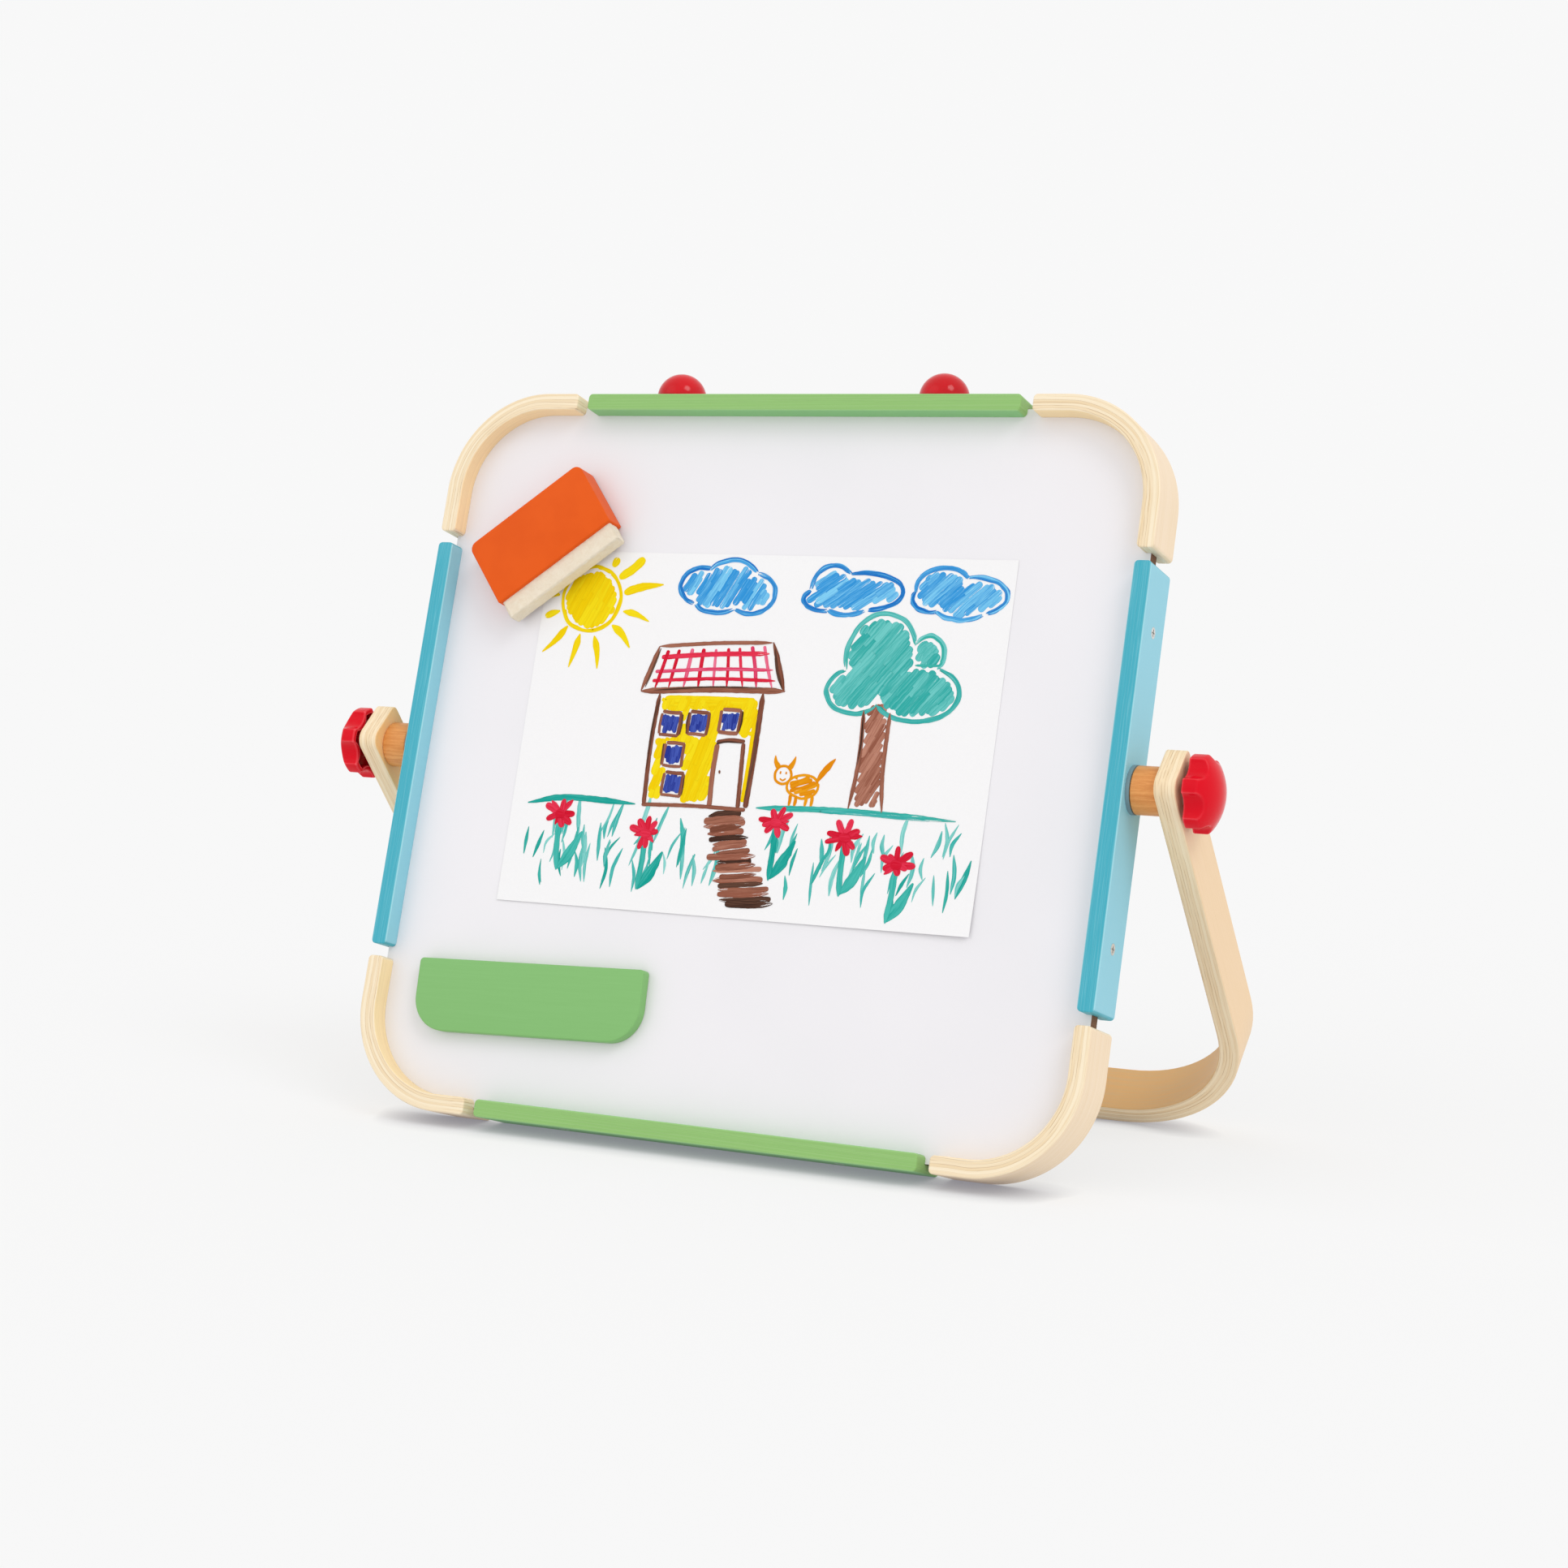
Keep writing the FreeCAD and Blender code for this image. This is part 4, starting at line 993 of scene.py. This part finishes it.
    def fill(self, colour, inside, low, high, slant, gap, width, ragged, dry):
        """To-and-fro strokes at a slant, kept where inside(x, y) is true, with ragged ends."""
        heading = Vector((math.cos(math.radians(slant)), math.sin(math.radians(slant))))
        side = Vector((-heading.y, heading.x))
        centre = (Vector(low) + Vector(high)) / 2
        reach = (Vector(high) - Vector(low)).length / 2
        for row in range(int(reach * 2 / gap) + 1):
            start = centre + side * (row * gap - reach + self.random.uniform(-0.25, 0.25) * gap)
            spots = [start + heading * (step * 0.5 - reach) for step in range(int(reach * 4) + 1)]
            run = []
            for spot in spots + [None]:
                if spot is not None and inside(spot.x, spot.y):
                    run.append(spot)
                    continue
                if len(run) > 5:
                    first = run[0] - heading * self.random.uniform(-ragged, ragged)
                    last = run[-1] + heading * self.random.uniform(-ragged, ragged)
                    ends = [tuple(first), tuple((first + last) / 2), tuple(last)]
                    broad = width * self.random.uniform(0.8, 1.15)
                    self.line(colour, ends[::-1] if row % 2 else ends, broad, 0.5, dry=(0.0, dry))
                run = []

    def pieces(self, paints):
        """Make one object of each paint's strokes."""
        for colour, mesh in self.meshes.items():
            bmesh.ops.recalc_face_normals(mesh, faces=mesh.faces)
            piece = make_piece("painting_" + colour, mesh, PAPER_PLACE, paints[colour], 30)
            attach(piece, "paper")


# Places in the picture are in millimetres, across and up from the middle of the sheet.

def in_oval(centre, radii):
    return lambda x, y: ((x - centre[0]) / radii[0]) ** 2 + ((y - centre[1]) / radii[1]) ** 2 < 1


def in_any(ovals):
    tests = [in_oval(centre, radii) for centre, radii in ovals]
    return lambda x, y: any(test(x, y) for test in tests)


def in_box(low, high):
    return lambda x, y: low[0] < x < high[0] and low[1] < y < high[1]


def shrunk(ovals, amount):
    return [(centre, (radii[0] - amount, radii[1] - amount)) for centre, radii in ovals]


def along_ray(centre, angle, away):
    return (centre[0] + away * math.cos(angle), centre[1] + away * math.sin(angle))


SUN_RAYS = 13
RAY_LEFT, RAY_TOP = -146.0, 101.5      # the sheet's edges, less a margin


def paint_sun(art, centre, radius):
    """A full disc in a ring, with leaf-shaped rays that stop short of the sheet's edges."""
    low = (centre[0] - radius, centre[1] - radius)
    high = (centre[0] + radius, centre[1] + radius)
    disc = in_oval((centre[0] - 0.5, centre[1]), (radius - 3.0, radius - 3.0))
    art.layer = 0
    art.fill("yellow", disc, low, high, 66, 2.4, 4.6, 1.2, 0.3)
    art.layer = 1
    art.loop("yellow", centre, (radius, radius), 2.0, start=60, turns=1.08)
    art.loop("yellow", centre, (radius - 0.9, radius - 0.7), 1.5, start=200, turns=0.6, tail=8)
    for number in range(SUN_RAYS):
        angle = 2 * math.pi * (number + 0.35) / SUN_RAYS + art.random.uniform(-0.07, 0.07)
        inner = radius + art.random.uniform(1.5, 3.5)
        outer = inner + art.random.uniform(18, 27)
        across = (centre[0] - RAY_LEFT) / max(0.01, -math.cos(angle))
        upward = (RAY_TOP - centre[1]) / max(0.01, math.sin(angle))
        room = min(across, upward)
        if room < inner + 5:
            continue
        tail = 3.0 if room < outer else 14.0
        outer = min(outer, room)
        bend = art.random.uniform(-0.05, 0.05)
        halfway = inner + (outer - inner) * 0.5
        points = [along_ray(centre, angle, inner), along_ray(centre, angle + bend, halfway),
                  along_ray(centre, angle, outer)]
        art.line("yellow", points, art.random.uniform(4.2, 5.6), 0.4, head=5.0, tail=tail, dry=(0.0, 0.7))


def paint_cloud(art, ovals, slant):
    """Broad slanting blue strokes in a darker double outline."""
    low = (min(c[0] - r[0] for c, r in ovals), min(c[1] - r[1] for c, r in ovals))
    high = (max(c[0] + r[0] for c, r in ovals), max(c[1] + r[1] for c, r in ovals))
    art.layer = 0
    art.fill("sky", in_any(shrunk(ovals, 2.4)), low, high, slant, 2.7, 3.9, 2.4, 0.8)
    art.layer = 1
    art.outline("sky", ovals, 2.4, 0.9)
    art.outline("blue", ovals, 1.5, 0.2, start=120)
    art.outline("blue", ovals, 0.9, 1.7, start=240)


HOUSE_FLOOR, HOUSE_EAVES = -43.0, 23.0
WINDOWS = ((-52, 4), (-34, 5), (-14, 7), (-47, -14), (-45, -31))
ROOF = [Vector(corner) for corner in ((-74.0, 22.5), (-66.0, 49.0), (6.0, 54.0), (17.5, 25.5))]


def paint_wall(art):
    """The yellow front, round its windows and its door."""
    door = in_box((-22, HOUSE_FLOOR - 1), (0, -2))
    panes = [in_box((x - 7.4, y - 7.6), (x + 7.4, y + 7.6)) for x, y in WINDOWS]
    wall = in_box((-58.5, HOUSE_FLOOR + 3.0), (0.5, HOUSE_EAVES - 3.0))
    art.layer = 0
    art.line("yellow", [(1.4, 15), (1.6, -12), (0.9, -39)], 2.6, 0.3, dry=(0.1, 0.4))
    for high in (16.0, 18.5):
        art.line("yellow", [(-57, high), (-28, high + 0.6), (0.5, high + 1.0)], 4.2, 0.4, dry=(0.0, 0.3))
    art.fill("yellow", lambda x, y: wall(x, y) and not door(x, y) and not any(pane(x, y) for pane in panes),
             (-60, HOUSE_FLOOR), (3, HOUSE_EAVES), 74, 2.4, 4.8, 1.0, 0.2)


def paint_window(art, x, y):
    """Blue panes in a crooked brown frame with a dark shadow line on one side."""
    art.layer = 1
    glass = in_box((x - 4.6, y - 5.2), (x + 4.6, y + 5.2))
    art.fill("navy", glass, (x - 6, y - 6), (x + 6, y + 6), 84, 1.6, 2.8, 0.8, 0.2)
    corners = [(x - 6.2, y + 6.2), (x - 6.6, y - 6.2), (x + 5.8, y - 6.8), (x + 6.2, y + 6.4),
               (x - 5.6, y + 7.0)]
    art.layer = 2
    for start, end in zip(corners, corners[1:]):
        middle = ((start[0] + end[0]) / 2, (start[1] + end[1]) / 2)
        art.line("brown", [start, middle, end], art.random.uniform(1.6, 2.2), 0.3)
    art.layer = 3
    side = art.random.choice((-1, 1))
    shadow = [(x + side * 7.0, y + 6), (x + side * 7.3, y), (x + side * 6.8, y - 6)]
    art.line("umber", shadow, 0.9, 0.3, tail=5)


def paint_roof(art):
    """A leaning red tile grid in a brown outline."""
    left, peak, ridge, right = ROOF
    art.layer = 1
    for rise, colour, width in ((0.22, "red", 2.0), (0.42, "rose", 2.0), (0.76, "red", 2.8)):
        start, end = left.lerp(peak, rise), right.lerp(ridge, rise)
        points = []
        for share in (0.05, 0.5, 0.95):
            points.append(tuple(start.lerp(end, share) + Vector((0, math.sin(share * 3.1) * 1.2))))
        art.line(colour, points, width, 0.6, tail=6, dry=(0.0, 0.6))
    for column in range(9):
        share = (column + 0.8) / 9.6
        low, high = left.lerp(right, share), peak.lerp(ridge, share)
        points = [tuple(low.lerp(high, rise)) for rise in (0.92, 0.5, 0.06)]
        colour = "rose" if column in (2, 4, 7, 8) else "red"
        art.line(colour, points, art.random.uniform(1.6, 2.4), 0.5, tail=7, dry=(0.0, 0.7))
    art.layer = 2
    for start, end, width in ((left, peak, 2.8), (peak, ridge, 2.2), (right, ridge, 2.8), (left, right, 3.6)):
        middle = (start + end) / 2 + Vector((0, 1.0))
        art.line("brown", [tuple(spot) for spot in (start, middle, end)], width, 0.4, head=7, tail=7,
                 dry=(0.0, 0.4))


def paint_house(art):
    """A leaning house front: tiled roof, five windows and a door."""
    floor, eaves = HOUSE_FLOOR, HOUSE_EAVES
    paint_wall(art)
    for x, y in WINDOWS:
        paint_window(art, x, y)
    art.layer = 2
    art.lines("brown", 0.3, ([(-19.5, floor), (-20.5, -24), (-20, -6)], 3.0, None, None, (0.1, 0.4)),
              ([(-20.5, -5.0), (-12, -3.6), (-3.0, -4.2)], 2.0),
              ([(-3.4, -5), (-2.6, -24), (-1.4, floor + 0.5)], 2.6))
    art.line("brown", [(-16.6, -22.6), (-15.6, -22.2)], 3.4, 0.1)
    art.lines("brown", 0.4, ([(-61.5, eaves - 1), (-62.8, -8), (-61.5, floor)], 2.6, 5, None, (0.0, 0.5)),
              ([(4.2, eaves + 1), (4.6, -6), (3.2, floor + 1)], 3.2, 5, None, (0.1, 0.3)))
    art.line("brown", [(-62.5, floor - 0.5), (-30, floor), (3.5, floor - 0.2)], 2.2, 0.3)
    paint_roof(art)
    art.layer = 3
    art.lines("umber", 0.4, ([(-72, 25), (-68.5, 37), (-65, 48)], 1.0, 6, 6),
              ([(-66, 23.5), (-30, 26.0), (4, 27.0)], 1.0, 12, 16, (0.2, 0.8)),
              ([(7.5, 50), (11, 38), (16, 27)], 1.6, 6, 6))
    art.lines("umber", 0.3, ([(-61.0, eaves - 3), (-63, 2), (-63, -24)], 1.3, 9, 16),
              ([(3.0, 8), (4.0, -12), (2.2, -40)], 1.1, 9, 9),
              ([(-20.5, -6), (-14, -4.8), (-4, -5.2)], 1.0, None, 8))


def paint_tree(art):
    """A hatched trunk under a puffed crown."""
    floor = -39.0
    art.layer = 0
    art.fill("bark", lambda x, y: floor + 2 < y < 20 and 70.5 + 0.02 * y < x < 82.5 - 0.03 * y,
             (68, floor), (88, 22), 63, 2.3, 3.2, 1.4, 0.6)
    art.layer = 2
    art.lines("brown", 0.4, ([(68.4, 17), (68.8, -4), (68.6, -22), (66.8, floor)], 2.4, 5, 10, (0, 0.6)),
              ([(84.0, 16), (83.8, -6), (84.8, -22), (87.0, floor - 1)], 2.4, 5, 10, (0, 0.6)))
    art.layer = 3
    art.line("umber", [(68.0, 16), (68.8, -2), (68.6, -14)], 1.0, 0.3, head=8, tail=12, dry=(0.1, 0.6))
    crown = [((74, 47), (21, 25)), ((61, 28), (17, 12.5)), ((98, 28), (25, 15.5)), ((102, 50), (9, 10))]
    art.layer = 0
    art.fill("teal", in_any(shrunk(crown, 2.6)), (42, 10), (126, 76), 52, 2.6, 5.0, 1.6, 0.5)
    art.layer = 1
    art.outline("teal", crown, 2.6, 0.8)
    art.outline("leaf", crown, 1.3, 0.0, start=100)


def paint_pet(art):
    """A small round-bodied pet with an upright tail."""
    art.layer = 0
    art.fill("orange", in_oval((37, -28), (8.4, 5.6)), (28, -35), (46, -21), 20, 1.9, 2.6, 0.5, 0.5)
    art.layer = 1
    art.loop("orange", (37, -28), (9.6, 6.6), 1.5, loose=0.3)
    art.loop("orange", (24, -22), (5.2, 5.0), 1.5, loose=0.2)
    for sign in (-1, 1):
        ear = [(24 + sign * 3.2, -18.5), (24 + sign * 5.5, -14.5), (24 + sign * 6.4, -11)]
        art.line("orange", ear, 3.2, 0.2, tail=6)
        art.line("orange", [(24 + sign * 1.8, -20.0), (24 + sign * 1.8, -21.6)], 1.0, 0.1)
    art.line("orange", [(22.2, -24.2), (24, -25.2), (26, -24.0)], 0.9, 0.1)
    for foot in (30.0, 33.5, 40.0, 43.5):
        art.line("orange", [(foot, -33), (foot + 0.3, -36), (foot - 0.2, -40.5)], 1.9, 0.2, tail=3)
    art.line("orange", [(45, -26), (49, -19), (55, -11.5)], 3.6, 0.3, head=7, tail=6)


PETALS = 9


def paint_flower(art, head, lean):
    """A daubed red head on a stem with one broad leaf."""
    x, y = head
    foot = (x + lean, y - 33)
    leaf = [(foot[0], foot[1] + 0.5), (foot[0] + 6.5, foot[1] + 9), (foot[0] + 13.5, foot[1] + 23)]
    art.layer = 1
    art.line("leaf", [(x, y - 4), (x + lean * 0.2, y - 18), foot], 3.4, 0.3, head=1.5, tail=5, dry=(0, 0.2))
    art.line("leaf", leaf, 6.6, 0.4, head=9, tail=14, dry=(0, 0.3))
    art.layer = 2
    for petal in range(PETALS):
        angle = 2 * math.pi * petal / PETALS + art.random.uniform(-0.25, 0.25)
        reach = art.random.uniform(7.0, 12.0)
        start = (x + 1.5 * math.cos(angle), y + 1.2 * math.sin(angle))
        end = (x + reach * math.cos(angle), y + reach * 0.9 * math.sin(angle))
        art.line("red", [start, end], art.random.uniform(3.0, 4.4), 0.4, head=2, tail=3.2, dry=(0.0, 0.5))
    art.layer = 3
    art.line("red", [(x - 3.5, y), (x + 3.2, y - 1)], 5.2, 0.3, dry=(0.1, 0.3))


def path_at(y):
    """How far across the middle of the garden path is, at a height on the sheet."""
    return -10 + 26 * max(0.0, (-46 - y) / 54) ** 1.25


PATH_ROWS = 20
GRASS_BLADES = 112


def paint_path(art):
    """Rough brown strokes across a path that bends and widens towards the sheet's foot."""
    for row in range(PATH_ROWS):
        y = -47 - row * 2.6
        half = 11.5 + row * 0.16 + art.random.uniform(-2.5, 2.5)
        centre = path_at(y) + art.random.uniform(-1.5, 1.5)
        ends = [(centre - half, y - 1.4), (centre, y + 0.2), (centre + half, y + 1.8)]
        art.layer = 1 + row % 2
        colour = ("umber", "brown", "bark", "brown", "bark")[row % 5]
        if row > 17:
            colour = "umber"
        art.line(colour, ends if row % 2 else ends[::-1], art.random.uniform(2.8, 4.2), 0.7, tail=5,
                 dry=(0.0, 0.9))


def paint_grass(art):
    """Leaning leaf-shaped blades at uneven places, sparing the path."""
    art.layer = 0
    for _ in range(GRASS_BLADES):
        x = art.random.uniform(-140, 138)
        y = art.random.uniform(-96, -62)
        if abs(x - path_at(y)) < 21:
            continue
        lean = art.random.uniform(-3, 8)
        high = art.random.uniform(11, 25)
        bend = art.random.uniform(-2.2, 2.2)
        points = [(x, y), (x + lean * 0.4 + bend, y + high * 0.5), (x + lean, y + high)]
        colour = art.random.choice(("grass", "grass", "leaf"))
        art.line(colour, points, art.random.uniform(1.4, 2.8), 0.3, head=7, tail=7, dry=(0.0, 0.7))


CLOUDS = (([((-45, 86), (13, 10)), ((-26, 87), (17, 14)), ((-12, 82), (14, 11)), ((-33, 79), (15, 8))], 62),
          ([((38, 87), (12, 12)), ((58, 85), (23, 10)), ((34, 80), (12, 6)), ((48, 79), (14, 7))], 36),
          ([((106, 88), (16, 11)), ((125, 84), (19, 10)), ((118, 79), (16, 8)), ((100, 82), (11, 7))], 44))
FLOWERS = (((-115, -52), 3), ((-57, -60), -1), ((24, -49), 0), ((67, -55), 1), ((100, -68), -2))


def paint_picture():
    """A child's picture: sun, clouds, house, tree, pet, flowers and grass."""
    art = Painting()
    paint_sun(art, (-116, 76), 19.5)
    for ovals, slant in CLOUDS:
        paint_cloud(art, ovals, slant)
    paint_house(art)
    paint_tree(art)
    paint_pet(art)
    art.layer = 2
    art.line("leaf", [(-138, -47), (-112, -42.5), (-67, -43.5)], 3.6, 0.3, head=16, tail=18, dry=(0.3, 0.4))
    art.line("leaf", [(10, -41.5), (58, -40), (98, -41), (132, -42.5)], 3.2, 0.4, head=12, tail=26,
             dry=(0.0, 0.9))
    art.line("teal", [(44, -41.4), (78, -41.5), (116, -42.8)], 2.2, 0.3, head=12, tail=20, dry=(0.4, 0.9))
    paint_path(art)
    for head, lean in FLOWERS:
        paint_flower(art, head, lean)
    paint_grass(art)
    art.pieces(PAINTS)


PAINTS = {
    "yellow": paint("paint_yellow", (0.84, 0.57, 0.001), (0.88, 0.70, 0.01)),
    "sky": paint("paint_sky", (0.03, 0.28, 0.66), (0.22, 0.60, 0.86)),
    "blue": paint("paint_blue", (0.008, 0.14, 0.50), (0.08, 0.40, 0.76)),
    "teal": paint("paint_teal", (0.03, 0.38, 0.35), (0.16, 0.57, 0.54)),
    "leaf": paint("paint_leaf", (0.005, 0.32, 0.27), (0.07, 0.48, 0.42)),
    "grass": paint("paint_grass", (0.04, 0.42, 0.38), (0.28, 0.66, 0.62)),
    "brown": paint("paint_brown", (0.17, 0.055, 0.032), (0.36, 0.14, 0.09)),
    "umber": paint("paint_umber", (0.04, 0.018, 0.013), (0.15, 0.07, 0.045)),
    "bark": paint("paint_bark", (0.27, 0.09, 0.055), (0.50, 0.23, 0.16)),
    "red": paint("paint_red", (0.60, 0.006, 0.026), (0.78, 0.04, 0.09)),
    "rose": paint("paint_rose", (0.66, 0.02, 0.09), (0.85, 0.20, 0.32)),
    "navy": paint("paint_navy", (0.018, 0.032, 0.26), (0.06, 0.10, 0.44)),
    "orange": paint("paint_orange", (0.72, 0.23, 0.002), (0.80, 0.34, 0.01)),
}


# ---------------------------------------------------------------- studio

CAMERA_AZIMUTH = 26.32
CAMERA_DROP = 4.86
CAMERA_ROLL = 1.28
CAMERA_AWAY = 1.663
CAMERA_AIM = Vector((0.0214, -0.0594, -0.0143))      # from the middle of the CAD box, in metres
LENS = 68.28
SENSOR = 36.0
SKY_STRENGTH = 0.94
FLOOR_COLOUR = (0.24, 0.25, 0.27)
FLOOR_GLOW = (0.673, 0.661, 0.639)
# The floor's glow inside its painted contact shadow.
FLOOR_PAINTED_SHADOW = (0.20, 0.20, 0.23)
SHADOW_REACH = 0.02


def make_camera():
    """A camera to the front right of the easel, looking slightly down at it and rolled a little."""
    data = bpy.data.cameras.new("camera")
    data.sensor_width = SENSOR
    data.lens = LENS
    low, high = CAD_BOX
    aim = (low + high) / 2 + CAMERA_AIM
    azimuth = math.radians(CAMERA_AZIMUTH)
    drop = math.radians(CAMERA_DROP)
    ahead = Vector((-math.sin(azimuth) * math.cos(drop), math.cos(azimuth) * math.cos(drop), -math.sin(drop)))
    turn = ahead.to_track_quat("-Z", "Y").to_matrix().to_4x4()
    roll = Matrix.Rotation(math.radians(CAMERA_ROLL), 4, "Z")
    camera = bpy.data.objects.new("camera", data)
    camera.matrix_world = Matrix.Translation(aim - ahead * CAMERA_AWAY) @ turn @ roll
    bpy.context.scene.collection.objects.link(camera)
    bpy.context.scene.camera = camera


def make_sun(name, azimuth, elevation, strength, softness):
    """A far light: azimuth is measured in degrees from straight in front of the board towards +X."""
    data = bpy.data.lights.new(name, "SUN")
    data.energy = strength
    data.angle = math.radians(softness)
    light = bpy.data.objects.new(name, data)
    turn, rise = math.radians(azimuth), math.radians(elevation)
    spot = Vector((math.sin(turn) * math.cos(rise), -math.cos(turn) * math.cos(rise), math.sin(rise)))
    light.location = spot * 3
    light.rotation_euler = spot.to_track_quat("Z", "Y").to_euler()
    bpy.context.scene.collection.objects.link(light)


def make_studio():
    """A wide pale floor under an even sky of the same brightness, with a soft key and a weak fill.

    The floor glows as brightly as the sky, except for a painted contact shadow where something stands close over
    it.
    """
    mesh = bmesh.new()
    bmesh.ops.create_grid(mesh, x_segments=8, y_segments=8, size=60.0)
    shader = Shader("studio_floor", Base_Color=FLOOR_COLOUR, Roughness=0.95, Specular_IOR_Level=0.0)
    # Occlusion paints a contact shadow into the floor's glow.
    painted_shadow_openness = shader.add("AmbientOcclusion", {"Distance": SHADOW_REACH}, samples=16).outputs["AO"]
    shader.set(Emission_Color=shader.mix(painted_shadow_openness, FLOOR_PAINTED_SHADOW, FLOOR_GLOW), Emission_Strength=1.0)
    make_piece("studio_floor", mesh, Matrix.Identity(4), shader.material, 30)
    world = bpy.data.worlds.new("studio")
    bpy.context.scene.world = world
    world.use_nodes = True
    sky = world.node_tree.nodes["Background"]
    sky.inputs["Color"].default_value = (1.0, 1.0, 1.0, 1)
    sky.inputs["Strength"].default_value = SKY_STRENGTH
    make_sun("key", azimuth=62, elevation=48, strength=0.62, softness=24)
    make_sun("fill", azimuth=-35, elevation=35, strength=0.12, softness=40)
    bpy.context.scene.view_settings.view_transform = "Standard"


dress_cad_nodes()
for side in ("left", "right"):
    make_knob(side)
    make_ball(side)
make_eraser()
make_holder()
make_paper()
paint_picture()
make_camera()
make_studio()
